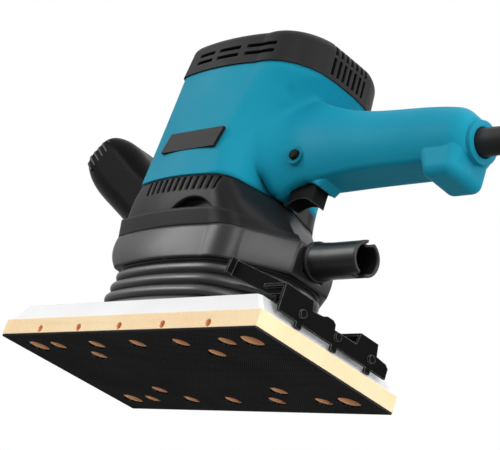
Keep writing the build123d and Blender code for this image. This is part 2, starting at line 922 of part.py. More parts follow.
def motor_housing():
    body = barrel_form() + handle_solid()
    body -= rear_tongue()
    body -= rod(motor_bore_radius, lower_top, cover_seam)
    body -= block(
        trigger_front_x - trigger_gap, trigger_rear_x + trigger_gap,
        -trigger_half_width - trigger_gap, trigger_half_width + trigger_gap,
        trigger_floor, trigger_roof + trigger_travel + trigger_gap,
    )
    plunger_x = (trigger_front_x + trigger_rear_x) / 2
    body -= rod(switch_plunger_radius + trigger_gap, trigger_roof, switch_floor, plunger_x)
    body -= block(
        switch_front_x - switch_fit, switch_rear_x + switch_fit,
        -switch_half_width - switch_fit, switch_half_width + switch_fit,
        switch_floor - switch_fit, switch_roof + switch_fit,
    )
    body -= rod_x(cord_radius + cord_fit, switch_rear_x - cord_radius, grip_end_x, 0, guard_z)
    body -= cord_clamp_block(switch_fit)
    body -= rod_x(
        guard_flange_radius + cord_fit, grip_end_x - guard_flange_length, grip_end_x, 0, guard_z
    )
    body -= rod_x(guard_root_radius + cord_fit, grip_end_x, grip_end_x + guard_collar_length, 0, guard_z)
    lock_outer = -lock_wall_y - lock_collar_height
    body += rod_y(lock_collar_radius, lock_outer, lock_collar_root - lock_wall_y, lock_x, lock_z)
    body -= rod_y(lock_radius + lock_fit, lock_outer - lock_collar_root, lock_stop_y, lock_x, lock_z)
    head_low = lock_head_y - lock_head_length - lock_fit
    body -= rod_y(lock_head_radius + trigger_gap, head_low, lock_stop_y, lock_x, lock_z)
    lock_reach = lock_head_y + lock_tip_length + lock_travel + trigger_gap
    body -= rod_y(lock_tip_radius + trigger_gap, lock_stop_y, lock_reach, lock_x, lock_z)
    places = [(x, z, body_screw_seat, body_screw_tip) for x, z in body_screw_places]
    places += [(x, z, handle_screw_seat, handle_screw_tip) for x, z in handle_screw_places]
    for x, z, seat, tip in places:
        body -= rod_y(screw_radius + screw_fit, tip, seat, x, z)
        body -= rod_y(screw_head_radius + screw_fit, seat, pad_width / 2, x, z)
    body -= badge_pocket()
    for x, y in both_sides((cover_post_front, cover_post_rear)):
        body -= rod(screw_radius + screw_fit, cover_screw_tip, cover_seam, x, y)
    return body


def badge_outline():
    half_x, half_z = badge_length / 2, badge_height / 2
    lean = badge_shear / 2
    return [
        (badge_x - half_x, badge_z - half_z),
        (badge_x + half_x - lean, badge_z - half_z),
        (badge_x + half_x, badge_z + half_z),
        (badge_x - half_x + lean, badge_z + half_z),
    ]


def badge_pocket():
    return side_prism(badge_outline(), -pad_width / 2, badge_stand_out + badge_thickness - neck_plan.flank_y)


def badge_plate():
    back = badge_stand_out + badge_thickness - neck_plan.flank_y
    return side_prism(badge_outline(), -neck_plan.flank_y - badge_stand_out, back)


def housing_half(body, side):
    span = pad_length
    low, high = sorted((0, side * span))
    return body & block(-span, span, low, high, 0, cover_top)


def housing_screws():
    places = [(x, z, body_screw_seat, body_screw_tip) for x, z in body_screw_places]
    places += [(x, z, handle_screw_seat, handle_screw_tip) for x, z in handle_screw_places]
    screws = Part()
    for x, z, seat, tip in places:
        screws += rod_y(screw_radius, tip, seat, x, z)
        screws += rod_y(screw_head_radius, seat, seat + screw_head_length, x, z)
    return screws


def cover_dome(grow, top, rounding):
    # flanks that lean in a little, then a quarter round up to the flat top
    shoulder = top - rounding
    lean = (shoulder - cover_seam) * tan(radians(cover_taper))
    flank = [
        plan_face(grown(cover_plan, grow), cover_seam),
        plan_face(grown(cover_plan, grow - lean), shoulder),
    ]
    crown = []
    for index in range(cover_steps + 1):
        angle = radians(90 * index / cover_steps)
        inset = lean + rounding * (1 - cos(angle))
        crown.append(plan_face(grown(cover_plan, grow - inset), shoulder + rounding * sin(angle)))
    return loft(flank, ruled=True) + loft(crown)


def cover_shell():
    skin = cover_dome(cover_lip, cover_top, cover_rounding)
    return skin - cover_dome(-cover_wall, cover_top - cover_wall, cover_rounding - cover_wall)


def top_cover():
    cover = cover_shell()
    for z in side_slot_rows:
        for x, length in zip(side_slot_centres, side_slot_lengths):
            cover -= block(
                x - length / 2, x + length / 2, -pad_width / 2, pad_width / 2,
                z - side_slot_height / 2, z + side_slot_height / 2,
            )
    reach = (rear_slot_count - 1) / 2
    for index in range(rear_slot_count):
        y = (index - reach) * rear_slot_pitch
        for low, high in ((rear_slot_low, rear_slot_high), (rear_slot_tier, rear_slot_roof)):
            cover -= block(
                cover_plan.tail_x - cover_rounding, cover_plan.tail_x + cover_rounding,
                y - rear_slot_width / 2, y + rear_slot_width / 2, low, high,
            )
    for x, y in both_sides((cover_post_front, cover_post_rear)):
        cover += rod(cover_post_radius, cover_seam, cover_top - cover_wall / 2, x, y)
        cover -= rod(screw_radius + screw_fit, cover_seam, cover_screw_seat, x, y)
        cover -= rod(screw_head_radius + screw_fit, cover_screw_seat, cover_top, x, y)
    return cover


def cover_screws():
    screws = Part()
    for x, y in both_sides((cover_post_front, cover_post_rear)):
        screws += rod(screw_radius, cover_screw_tip, cover_screw_seat, x, y)
        screws += rod(screw_head_radius, cover_screw_seat, cover_screw_seat + screw_head_length, x, y)
    return screws


def casing_screws():
    screws = Part()
    for x, y in both_sides(casing_screw_places):
        screws += rod(screw_radius, casing_floor, casing_screw_top, x, y)
        screws += rod(screw_head_radius, casing_floor, casing_floor + screw_head_length, x, y)
    return screws


def retainer_screws():
    screws = Part()
    for x, y in retainer_screw_places():
        top = boss_top + retainer_thickness
        screws += rod(retainer_screw_radius, boss_top, top, x, y)
        screws += rod(2 * retainer_screw_radius, top, top + retainer_screw_radius, x, y)
    return screws


def grip_bolts():
    seat = waist_plan.front_x + fan_room_wall
    bolts = Part()
    for side in (1, -1):
        y = side * grip_bolt_y
        bolts += rod_x(grip_bolt_radius, seat - grip_bolt_length, seat, y, grip_bolt_z)
        bolts += rod_x(grip_bolt_head_radius, seat, seat + grip_bolt_head_length, y, grip_bolt_z)
    return bolts


def housing_front():
    # the housing's outer form, grown by the fit, against which the grip is seated
    lower = loft(
        [
            plan_face(grown(hem_plan, knob_fit - casing_wall), casing_top),
            plan_face(grown(band_plan, knob_fit), band_top),
            plan_face(grown(waist_plan, knob_fit - cover_lip), lower_top),
        ]
    )
    upper = loft(
        [
            plan_face(grown(waist_plan, knob_fit), lower_top),
            plan_face(grown(neck_plan, knob_fit), neck_level),
            plan_face(grown(cover_plan, knob_fit), cover_seam),
        ]
    )
    band = loft(
        [
            plan_face(grown(hem_plan, knob_fit), casing_top),
            plan_face(grown(band_plan, casing_wall + knob_fit), band_top),
        ]
    )
    return lower + upper + band


def knob_plane(section):
    # plane through both side points of a section, its X across the tool and its Y up the section
    (top_x, top_z), (low_x, low_z) = section
    middle = ((top_x + low_x) / 2, 0, (top_z + low_z) / 2)
    return Plane(origin=middle, x_dir=(0, -1, 0), z_dir=(low_z - top_z, 0, top_x - low_x))


def front_grip():
    faces = []
    for section in knob_sections:
        height = dist(*section)
        rounding = min(grip_edge_rounding, height / 2 - 1)
        faces.append(knob_plane(section) * RectangleRounded(2 * grip_half_width, height, rounding))
    grip = loft(faces)
    end = knob_plane(knob_sections[-1])
    tip = min(grip.faces(), key=lambda face: face.center().X)
    grip = fillet(tip.edges(), knob_end_rounding)
    reach = (grip_rib_count - 1) / 2
    for index in range(grip_rib_count):
        rise = (index - reach) * grip_rib_pitch
        grip -= end * Pos(0, rise, 0) * Box(2 * grip_rib_half_width, grip_rib_height, 2 * grip_rib_depth)
    base_x = waist_plan.front_x / 2
    for side in (1, -1):
        bolt_tip = waist_plan.front_x + fan_room_wall - grip_bolt_length
        grip -= rod_x(grip_bolt_radius + screw_fit, bolt_tip, base_x, side * grip_bolt_y, grip_bolt_z)
    return grip - housing_front()


def trigger():
    middle = (trigger_front_x + trigger_rear_x) / 2
    lever = block(
        trigger_front_x, trigger_rear_x, -trigger_half_width, trigger_half_width, trigger_floor, trigger_roof
    )
    lever = fillet(lever.edges().filter_by(Axis.Z), trigger_rounding)
    scoop_z_centre = trigger_floor + trigger_scoop_depth - trigger_scoop_radius
    lever -= rod_y(
        trigger_scoop_radius, -trigger_half_width, trigger_half_width, middle, scoop_z_centre
    )
    stem_top = switch_floor - trigger_travel - trigger_gap
    lever += rod(switch_plunger_radius, trigger_roof, stem_top, middle)
    notch = lock_tip_radius + trigger_gap
    notch_floor = lock_z - trigger_travel - notch - trigger_gap
    notch_y = lock_head_y + lock_tip_length + lock_travel + trigger_gap
    return lever - block(
        lock_x - notch, lock_x + notch, -trigger_half_width, notch_y, notch_floor, trigger_roof
    )


def lock_button():
    outer = -lock_wall_y - lock_collar_height - lock_stand_out
    button = rod_y(lock_radius, outer, lock_head_y, lock_x, lock_z)
    button = fillet(button.edges().group_by(Axis.Y)[0], lock_radius / 3)
    button += rod_y(lock_head_radius, lock_head_y - lock_head_length, lock_head_y, lock_x, lock_z)
    return button + rod_y(lock_tip_radius, lock_head_y, lock_head_y + lock_tip_length, lock_x, lock_z)


def switch_body():
    body = block(
        switch_front_x, switch_rear_x, -switch_half_width, switch_half_width, switch_floor, switch_roof
    )
    for side in (1, -1):
        y = side * switch_half_width / 2
        terminal_z = switch_roof - plate_inset * 2
        body -= rod_x(screw_radius, switch_rear_x - plate_thickness, switch_rear_x, y, terminal_z)
    return fillet(body.edges().filter_by(Axis.Z), plate_inset)


def cord_clamp_block(fit):
    half_x = cord_clamp_length / 2 + fit
    half_y = cord_clamp_half_width + fit
    low = guard_z + cord_radius / 2
    return block(
        cord_clamp_x - half_x, cord_clamp_x + half_x, -half_y, half_y, low, guard_z + cord_clamp_rise + fit
    )


def cord_clamp():
    saddle = cord_clamp_block(0)
    half_x = cord_clamp_length
    return saddle - rod_x(cord_radius + shaft_fit, cord_clamp_x - half_x, cord_clamp_x + half_x, 0, guard_z)


def inner_lead():
    return rod_x(cord_radius, switch_rear_x + switch_fit, grip_end_x - guard_flange_length, 0, guard_z)


def cord_guard():
    start = grip_end_x - guard_flange_length
    guard = rod_x(guard_flange_radius, start, grip_end_x, 0, guard_z)
    length = guard_end_x - start
    sleeve = Pos((start + guard_end_x) / 2, 0, guard_z) * Rot(0, 90, 0)
    guard += sleeve * Cone(guard_root_radius, guard_end_radius, length)
    first = grip_end_x + guard_plain_length
    pitch = (guard_end_x - first - guard_ring_width) / guard_ring_count
    for index in range(guard_ring_count):
        low = first + index * pitch
        share = (low - start) / length
        radius = guard_root_radius + share * (guard_end_radius - guard_root_radius)
        ring = rod_x(guard_root_radius + 1, low, low + guard_ring_width, 0, guard_z)
        guard -= ring - rod_x(radius - guard_ring_depth, low, low + guard_ring_width, 0, guard_z)
    return guard - rod_x(cord_radius + cord_fit, guard_end_x - guard_socket_depth, guard_end_x, 0, guard_z)


def minus(a, b):
    return tuple(p - q for p, q in zip(a, b))


def along(a, b, share):
    return tuple(p + share * q for p, q in zip(a, b))


def dot(a, b):
    return sum(p * q for p, q in zip(a, b))


def unit(a):
    size = hypot(*a)
    return tuple(p / size for p in a)


def bend_radii(points):
    radii = []
    for before, here, after in zip(points, points[1:], points[2:]):
        first, second = minus(here, before), minus(after, here)
        turn = atan2(
            (max(dot(first, first) * dot(second, second) - dot(first, second) ** 2, 0)) ** 0.5,
            dot(first, second),
        )
        shorter = min(hypot(*first), hypot(*second))
        radii.append(bend_share * shorter / tan(turn / 2))
    return radii


def round_tube(path, start, direction, label):
    section = Plane(origin=start, z_dir=direction) * Circle(cord_radius)
    tube = sweep(section, path=path)
    ideal = pi * cord_radius**2 * path.length
    print(label, "length", round(path.length), "volume share", round(tube.volume / ideal, 4))
    return tube


def cord_tube(points, label):
    radii = bend_radii(points)
    print(label, "bend radii", [round(radius, 1) for radius in radii])
    path = FilletPolyline(*points, radius=radii)
    return round_tube(path, points[0], minus(points[1], points[0]), label)


def coil_state(half_turns):
    # radius and height after a number of half turns, counted from the top of the coil
    cycle = coil_half_turns_per_layer + 1
    layer = int(half_turns // cycle)
    into = half_turns - layer * cycle
    spiral = min(into, coil_half_turns_per_layer) * coil_turn_pitch / 2
    climb = max(into - coil_half_turns_per_layer, 0)
    inner = coil_outer_radius - coil_half_turns_per_layer * coil_turn_pitch / 2
    radius = inner + spiral if layer % 2 else coil_outer_radius - spiral
    return radius, coil_top_z - coil_layer_step * (layer + (1 - cos(pi * climb)) / 2)


def coil_point(half_turns):
    radius, z = coil_state(half_turns)
    angle = pi * half_turns - pi / 2
    return (coil_centre_x + radius * cos(angle), coil_centre_y + radius * sin(angle), z)


def biarc(start, heading, end, final_heading):
    # two arcs that leave along one heading and arrive along the other
    span = minus(end, start)
    both = along(heading, final_heading, 1)
    square = 2 * (1 - dot(heading, final_heading))
    linear = dot(span, both)
    reach = ((linear**2 + square * dot(span, span)) ** 0.5 - linear) / square
    first = along(start, heading, reach)
    second = along(end, final_heading, -reach)
    middle = along(first, minus(second, first), 0.5)
    across = unit(minus(second, first))
    return [
        Edge.make_tangent_arc(start, Vector(*heading), middle),
        Edge.make_tangent_arc(middle, Vector(*across), end),
    ]


def coil_path():
    total = coil_layers * (coil_half_turns_per_layer + 1) - 1
    points = [coil_point(step) for step in range(total + 1)]
    headings = []
    for step in range(total + 1):
        angle = pi * step - pi / 2
        headings.append((-sin(angle), cos(angle), 0.0))
    edges = []
    for step in range(total):
        edges += biarc(points[step], headings[step], points[step + 1], headings[step + 1])
    return Wire(edges)


def least_coil_gap(path):
    # closest approach of two strands of the coil, from points along its path
    count = ceil(path.length / cord_radius)
    spots = [tuple(path.position_at(index / count)) for index in range(count + 1)]
    apart = ceil(coil_outer_radius * 2 / cord_radius)
    least = min(
        dist(spots[i], spots[j]) for i in range(len(spots)) for j in range(i + apart, len(spots))
    )
    return least - 2 * cord_radius


def cord_coil():
    path = coil_path()
    print("coil least gap", round(least_coil_gap(path), 2))
    return round_tube(path, coil_point(0), (1, 0, 0), "coil")


def tail_points():
    end = coil_point(coil_layers * (coil_half_turns_per_layer + 1) - 1)
    lift = plug_height / 2 - end[2]
    return [end] + [(end[0] + x, end[1] + y, end[2] + share * lift) for x, y, share in tail_steps]


def cord_tie():
    inner = coil_outer_radius - coil_half_turns_per_layer * coil_turn_pitch / 2 + coil_turn_pitch / 4
    outer = coil_outer_radius - coil_turn_pitch / 4
    sag = tie_width**2 / (8 * inner)
    near = coil_centre_x + inner - cord_radius - tie_gap - sag
    far = coil_centre_x + outer + cord_radius + tie_gap
    low = coil_top_z - (coil_layers - 1) * coil_layer_step - cord_radius - tie_gap
    high = coil_top_z + cord_radius + tie_gap
    half = tie_width / 2
    band = block(
        near - tie_thickness, far + tie_thickness, coil_centre_y - half, coil_centre_y + half,
        low - tie_thickness, high + tie_thickness,
    )
    return band - block(near, far, coil_centre_y - half, coil_centre_y + half, low, high)


def plug_place():
    points = tail_points()
    heading = minus(points[-1], points[-2])
    start = along(points[-1], unit(heading), -plug_socket_depth)
    return Pos(*start) * Rot(0, 0, degrees(atan2(heading[1], heading[0])))


def plug_body():
    nose = Pos(plug_nose / 2, 0, 0) * Rot(0, 90, 0) * Cone(plug_nose_end_radius, plug_nose_radius, plug_nose)
    shell = Pos(plug_nose + plug_length / 2, 0, 0) * Box(plug_length, plug_width, plug_height)
    shell = fillet(shell.edges().filter_by(Axis.X) + shell.faces().sort_by(Axis.X)[0].edges(), plug_rounding)
    plug = nose + shell - rod_x(cord_radius + cord_fit, 0, plug_socket_depth, 0, 0)
    front = plug_nose + plug_length
    for side in (1, -1):
        y = side * plug_pin_pitch / 2
        plug -= rod_x(plug_pin_radius + shaft_fit, front - plug_socket_depth, front, y, 0)
    return plug_place() * plug


def plug_pins():
    front = plug_nose + plug_length
    pins = Part()
    for side in (1, -1):
        y = side * plug_pin_pitch / 2
        pin = rod_x(plug_pin_radius, front - plug_socket_depth, front + plug_pin_length, y, 0)
        pins += fillet(pin.edges().group_by(Axis.X)[-1], plug_pin_radius / 2)
    return plug_place() * pins


def motor_shaft():
    pin_low = pad_bearing_low + leg_gap
    shaft = rod(pin_radius, pin_low, flange_low, orbit_offset)
    shaft += rod(flange_radius, flange_low, weight_low)
    shaft += rod(shaft_radius, weight_low, shaft_step_z)
    shaft += rod(shaft_upper_radius, shaft_step_z, shaft_neck_z)
    return shaft + rod(shaft_top_radius, shaft_neck_z, shaft_top_z)


def shaft_bore(low, high, radius=shaft_radius):
    return rod(radius + shaft_fit, low, high)


def armature_core():
    core = rod(core_radius, core_low, core_high) - shaft_bore(core_low, core_high)
    for index in range(core_slots):
        slot = block(
            core_radius - core_slot_depth, core_radius + 1, -core_slot_width / 2, core_slot_width / 2,
            core_low, core_high,
        )
        core -= Rot(0, 0, 360 * index / core_slots) * slot
    return core


def armature_windings():
    turns = Part()
    for low, high in ((core_low - winding_height, core_low), (core_high, core_high + winding_height)):
        ring = rod(winding_radius, low, high)
        ring = fillet(ring.edges(), winding_height / 3)
        turns += ring - shaft_bore(low, high)
    return turns


def commutator():
    drum = rod(commutator_radius, commutator_low, commutator_high)
    drum -= shaft_bore(commutator_low, commutator_high, shaft_upper_radius)
    for index in range(commutator_bars):
        cut = block(
            commutator_radius - commutator_slot_depth, commutator_radius + 1,
            -commutator_slot / 2, commutator_slot / 2, commutator_low, commutator_high,
        )
        drum -= Rot(0, 0, 360 * (index + 0.5) / commutator_bars) * cut
    return drum


def stator_core():
    core = rod(stator_radius, stator_low, stator_high)
    yoke = stator_radius - stator_yoke
    core -= rod(yoke, stator_low, stator_high)
    for start in (0, 180):
        core += sector(
            stator_pole_radius, yoke + 1, stator_low, stator_high,
            start - stator_pole_angle / 2, stator_pole_angle,
        )
    return core


def stator_coils():
    coils = Part()
    low, high = stator_low - coil_end_height, stator_high + coil_end_height
    for start in (0, 180):
        loop = sector(coil_inner_radius, coil_outer_ring, low, high, start - coil_angle / 2, coil_angle)
        opening = sector(
            coil_inner_radius - 1, coil_outer_ring + 1, stator_low - coil_gap, stator_high + coil_gap,
            start - stator_pole_angle / 2 - 1, stator_pole_angle + 2,
        )
        coils += loop - opening
    return coils


def motor_bracket():
    high = cover_seam + bracket_thickness
    roof = upper_bearing_low + upper_bearing_width
    cup = upper_bearing_radius + bracket_cup_wall
    bracket = rod(bracket_radius, cover_seam, high) + rod(cup, cover_seam, roof + bracket_cup_roof)
    bracket -= rod(commutator_radius + bearing_race / 2, cover_seam, high)
    bracket -= rod(upper_bearing_radius + shaft_fit, high, roof)
    return bracket - rod(shaft_top_radius + 1, roof, roof + bracket_cup_roof)


def upper_bearing():
    return ball_bearing(
        shaft_top_radius + running_fit, upper_bearing_radius, upper_bearing_low, upper_bearing_width
    )


def lower_bearing():
    return ball_bearing(
        shaft_radius + running_fit, lower_bearing_radius, lower_bearing_low, lower_bearing_width
    )


def brush_box(margin, start, end, top):
    half = brush_width / 2 + margin
    return block(start, end, -half, half, brush_z - brush_height / 2 - margin, top)


def brush_holders():
    holders = Part()
    start = commutator_radius + bearing_race
    end = start + holder_length
    box = brush_box(holder_wall, start, end, cover_seam)
    box -= brush_box(brush_fit, start, end - holder_wall, brush_z + brush_height / 2 + brush_fit)
    for turn in (0, 180):
        holders += Rot(0, 0, turn) * box
    return holders


def carbon_brushes():
    brushes = Part()
    start = commutator_radius + brush_gap
    brush = brush_box(0, start, start + brush_length, brush_z + brush_height / 2)
    for turn in (0, 180):
        brushes += Rot(0, 0, turn) * brush
    return brushes


def brush_springs():
    springs = Part()
    start = commutator_radius + brush_gap + brush_length
    end = commutator_radius + bearing_race + holder_length - holder_wall
    for turn in (0, 180):
        springs += Rot(0, 0, turn) * rod_x(brush_spring_radius, start, end, 0, brush_z)
    return springs


def bladed_fan(radius, low, height, blades, disc_low, hub_radius):
    wheel = rod(radius, disc_low, disc_low + fan_disc) + rod(hub_radius, low, low + height)
    for index in range(blades):
        blade = block(
            hub_radius - 1, radius - 1, -fan_blade_thickness / 2, fan_blade_thickness / 2, low, low + height
        )
        wheel += Rot(0, 0, 360 * index / blades) * blade
    return wheel - shaft_bore(low, low + height)


def cooling_fan():
    disc_low = fan_low + fan_height - fan_disc
    return bladed_fan(fan_radius, fan_low, fan_height, fan_blades, disc_low, fan_hub_radius)


def dust_fan():
    disc_low = dust_fan_low + dust_fan_height - fan_disc
    return bladed_fan(
        dust_fan_radius, dust_fan_low, dust_fan_height, dust_fan_blades, disc_low, fan_hub_radius
    )


def balance_weight():
    high = weight_low + weight_height
    weight = rod(weight_hub_radius, weight_low, high)
    weight += sector(
        weight_hub_radius - 1, weight_radius, weight_low, high, 180 - weight_half_angle, 2 * weight_half_angle
    )
    return weight - shaft_bore(weight_low, high)


motor_body = motor_housing()
nodes = {
    "hook_face": hook_face(),
    "pad_foam": pad_foam(),
    "base_plate": base_plate(),
    "pad_bearing": pad_bearing(),
    "bearing_retainer": bearing_retainer(),
    "retainer_screws": retainer_screws(),
    "rear_clamp": rear_clamp(),
    "front_clamp": front_clamp(),
    "rear_clamp_pin": clamp_pin(1),
    "front_clamp_pin": clamp_pin(-1),
    "bellows": bellows(),
    "rubber_legs": rubber_legs(),
    "dust_casing": dust_casing(),
    "inlet_ring": inlet_ring(),
    "dust_nozzle": dust_nozzle(),
    "lower_housing": lower_housing(),
    "housing_left": housing_half(motor_body, -1),
    "housing_right": housing_half(motor_body, 1),
    "badge_plate": badge_plate(),
    "top_cover": top_cover(),
    "front_grip": front_grip(),
    "housing_screws": housing_screws(),
    "cover_screws": cover_screws(),
    "casing_screws": casing_screws(),
    "grip_bolts": grip_bolts(),
    "trigger": trigger(),
    "lock_button": lock_button(),
    "switch_body": switch_body(),
    "cord_clamp": cord_clamp(),
    "inner_lead": inner_lead(),
    "cord_guard": cord_guard(),
    "cord_run": cord_tube(cord_route, "run"),
    "cord_coil": cord_coil(),
    "cord_tail": cord_tube(tail_points(), "tail"),
    "cord_tie": cord_tie(),
    "plug_body": plug_body(),
    "plug_pins": plug_pins(),
    "motor_shaft": motor_shaft(),
    "armature_core": armature_core(),
    "armature_windings": armature_windings(),
    "commutator": commutator(),
    "stator_core": stator_core(),
    "stator_coils": stator_coils(),
    "motor_bracket": motor_bracket(),
    "upper_bearing": upper_bearing(),
    "lower_bearing": lower_bearing(),
    "brush_holders": brush_holders(),
    "carbon_brushes": carbon_brushes(),
    "brush_springs": brush_springs(),
    "cooling_fan": cooling_fan(),
    "dust_fan": dust_fan(),
    "balance_weight": balance_weight(),
}
os.makedirs("parts", exist_ok=True)
for name, shape in nodes.items():
    export_step(shape, f"parts/{name}.step")
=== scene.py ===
import math

import bmesh
import bpy
from mathutils import Matrix, Vector


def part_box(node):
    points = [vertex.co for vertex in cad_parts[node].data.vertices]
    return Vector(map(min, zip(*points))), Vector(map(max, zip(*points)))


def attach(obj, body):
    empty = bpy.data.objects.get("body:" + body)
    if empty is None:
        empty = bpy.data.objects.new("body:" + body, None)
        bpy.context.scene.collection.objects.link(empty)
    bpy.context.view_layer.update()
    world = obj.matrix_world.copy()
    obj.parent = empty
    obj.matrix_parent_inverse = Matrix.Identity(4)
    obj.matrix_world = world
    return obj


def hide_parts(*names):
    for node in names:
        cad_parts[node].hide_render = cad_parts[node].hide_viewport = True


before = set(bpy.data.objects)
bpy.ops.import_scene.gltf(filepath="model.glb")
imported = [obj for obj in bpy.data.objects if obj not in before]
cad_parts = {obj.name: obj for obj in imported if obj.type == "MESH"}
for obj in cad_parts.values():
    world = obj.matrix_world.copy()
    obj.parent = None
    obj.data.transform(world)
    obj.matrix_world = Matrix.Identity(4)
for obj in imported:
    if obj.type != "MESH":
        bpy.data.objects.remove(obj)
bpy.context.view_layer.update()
scene = bpy.context.scene


# camera of the photograph, worked out from the corners of the pad
cameraFit = {
    "place": (0.69292, -0.55293, -0.24567),
    "right": (0.6879, 0.6637, 0.2939),
    "up": (0.0697, -0.4634, 0.8834),
    "back": (0.7225, -0.5872, -0.3651),
    "lens": 111.6,
    "sensor": 36.0,
    "nearest": 0.01,
}


def addCamera(fit):
    data = bpy.data.cameras.new("photoCamera")
    data.sensor_fit = "HORIZONTAL"
    data.sensor_width = fit["sensor"]
    data.lens = fit["lens"]
    data.clip_start = fit["nearest"]
    camera = bpy.data.objects.new("photoCamera", data)
    columns = [Vector(fit[key]).normalized() for key in ("right", "up", "back")]
    turn = Matrix(columns).transposed().to_4x4()
    camera.matrix_world = Matrix.Translation(Vector(fit["place"])) @ turn
    scene.collection.objects.link(camera)
    scene.camera = camera


addCamera(cameraFit)
scene.view_settings.view_transform = "Standard"
print("camera set")


# node helpers
def link(tree, source, target):
    tree.links.new(source, target)


def addNode(tree, kind, **values):
    node = tree.nodes.new(kind)
    for key, value in values.items():
        setattr(node, key, value)
    return node


def feed(tree, value, socket):
    # a plain number or colour is set on the socket, anything else is linked to it
    if isinstance(value, (int, float, tuple)):
        socket.default_value = value
    else:
        link(tree, value, socket)


def mathNode(tree, operation, *values, clamp=False):
    node = addNode(tree, "ShaderNodeMath", operation=operation, use_clamp=clamp)
    for socket, value in zip(node.inputs, values):
        feed(tree, value, socket)
    return node.outputs[0]


def mixColour(tree, factor, first, second, blend="MIX"):
    node = addNode(tree, "ShaderNodeMix", data_type="RGBA", blend_type=blend)
    for index, value in ((0, factor), (6, first), (7, second)):
        feed(tree, value, node.inputs[index])
    return node.outputs[2]


def mixShaders(tree, factor, first, second):
    node = addNode(tree, "ShaderNodeMixShader")
    for socket, source in zip(node.inputs, (factor, first, second)):
        link(tree, source, socket)
    return node.outputs[0]


def rangeNode(tree, value, source, target=(0.0, 1.0), kind="LINEAR"):
    node = addNode(tree, "ShaderNodeMapRange", interpolation_type=kind)
    labels = ("Value", "From Min", "From Max", "To Min", "To Max")
    for label, given in zip(labels, (value, *source, *target)):
        feed(tree, given, node.inputs[label])
    return node.outputs["Result"]


def noiseNode(tree, scale, detail, rough=0.5):
    place = addNode(tree, "ShaderNodeTexCoord")
    node = addNode(tree, "ShaderNodeTexNoise")
    link(tree, place.outputs["Object"], node.inputs["Vector"])
    for label, value in (("Scale", scale), ("Detail", detail), ("Roughness", rough)):
        feed(tree, value, node.inputs[label])
    return node.outputs["Fac"]


def splitAxes(tree, source):
    node = addNode(tree, "ShaderNodeSeparateXYZ")
    link(tree, source, node.inputs[0])
    return node.outputs


def addBump(tree, shader, height, strength, depth, normal=None):
    node = addNode(tree, "ShaderNodeBump")
    node.inputs["Strength"].default_value = strength
    node.inputs["Distance"].default_value = depth
    link(tree, height, node.inputs["Height"])
    if normal is not None:
        link(tree, normal, node.inputs["Normal"])
    link(tree, node.outputs[0], shader.inputs["Normal"])


def newGroup(name, inputs, outputs):
    group = bpy.data.node_groups.new(name, "ShaderNodeTree")
    for label, kind, value in inputs:
        socket = group.interface.new_socket(name=label, in_out="INPUT", socket_type=kind)
        socket.default_value = value
    for label, kind in outputs:
        group.interface.new_socket(name=label, in_out="OUTPUT", socket_type=kind)
    return group, group.nodes.new("NodeGroupInput"), group.nodes.new("NodeGroupOutput")


def placeGroup(tree, group, values):
    node = addNode(tree, "ShaderNodeGroup", node_tree=group)
    for label, value in values.items():
        feed(tree, value, node.inputs[label])
    return node


number, colour, vector = "NodeSocketFloat", "NodeSocketColor", "NodeSocketVector"


# edges lightened, partly as rubbed wear and partly as painted highlight, and a normal that rounds the sharp
# ones
wearAndHighlightGain = 9.0


def makeEdgeWearAndHighlight():
    group, given, out = newGroup(
        "edgeWearAndHighlight",
        [
            ("Round", number, 0.0005), ("Reach", number, 0.0012), ("Amount", number, 0.3),
            ("Breakup", number, 220.0),
        ],
        [("Mask", number), ("Normal", vector)],
    )
    soft = addNode(group, "ShaderNodeBevel", samples=8)
    wide = addNode(group, "ShaderNodeBevel", samples=4)
    link(group, given.outputs["Round"], soft.inputs["Radius"])
    link(group, given.outputs["Reach"], wide.inputs["Radius"])
    flat = addNode(group, "ShaderNodeNewGeometry")
    dot = addNode(group, "ShaderNodeVectorMath", operation="DOT_PRODUCT")
    link(group, wide.outputs[0], dot.inputs[0])
    link(group, flat.outputs["Normal"], dot.inputs[1])
    turned = mathNode(group, "SUBTRACT", 1.0, dot.outputs["Value"], clamp=True)
    noise = noiseNode(group, given.outputs["Breakup"], detail=4.0)
    patchy = mathNode(group, "MULTIPLY", turned, noise)
    strong = mathNode(group, "MULTIPLY", patchy, wearAndHighlightGain)
    mask = mathNode(group, "MULTIPLY", strong, given.outputs["Amount"], clamp=True)
    link(group, mask, out.inputs["Mask"])
    link(group, soft.outputs[0], out.inputs["Normal"])
    return group


# fine moulded texture, with gloss that wanders a little over the surface
glossScale, glossSpread = 38.0, (0.3, 0.7)


def makeMouldGrain():
    group, given, out = newGroup(
        "mouldGrain",
        [("Scale", number, 2600.0), ("Rough Low", number, 0.4), ("Rough High", number, 0.5)],
        [("Height", number), ("Roughness", number)],
    )
    fine = noiseNode(group, given.outputs["Scale"], detail=3.0, rough=0.6)
    broad = noiseNode(group, glossScale, detail=5.0)
    limits = given.outputs["Rough Low"], given.outputs["Rough High"]
    link(group, fine, out.inputs["Height"])
    link(group, rangeNode(group, broad, glossSpread, limits), out.inputs["Roughness"])
    return group


# slow change of tone over a surface
driftSpread = (0.35, 0.68)


def makeToneDrift():
    group, given, out = newGroup(
        "toneDrift",
        [
            ("Main", colour, (0.5, 0.5, 0.5, 1)), ("Other", colour, (0.4, 0.4, 0.4, 1)),
            ("Scale", number, 14.0),
        ],
        [("Tone", colour)],
    )
    share = rangeNode(group, noiseNode(group, given.outputs["Scale"], detail=6.0), driftSpread)
    tone = mixColour(group, share, given.outputs["Main"], given.outputs["Other"])
    link(group, tone, out.inputs["Tone"])
    return group


# thin film of sanding dust, thickest on faces that look up
filmOnTop, filmAnywhere, filmClumps = 0.7, 0.12, 2.0


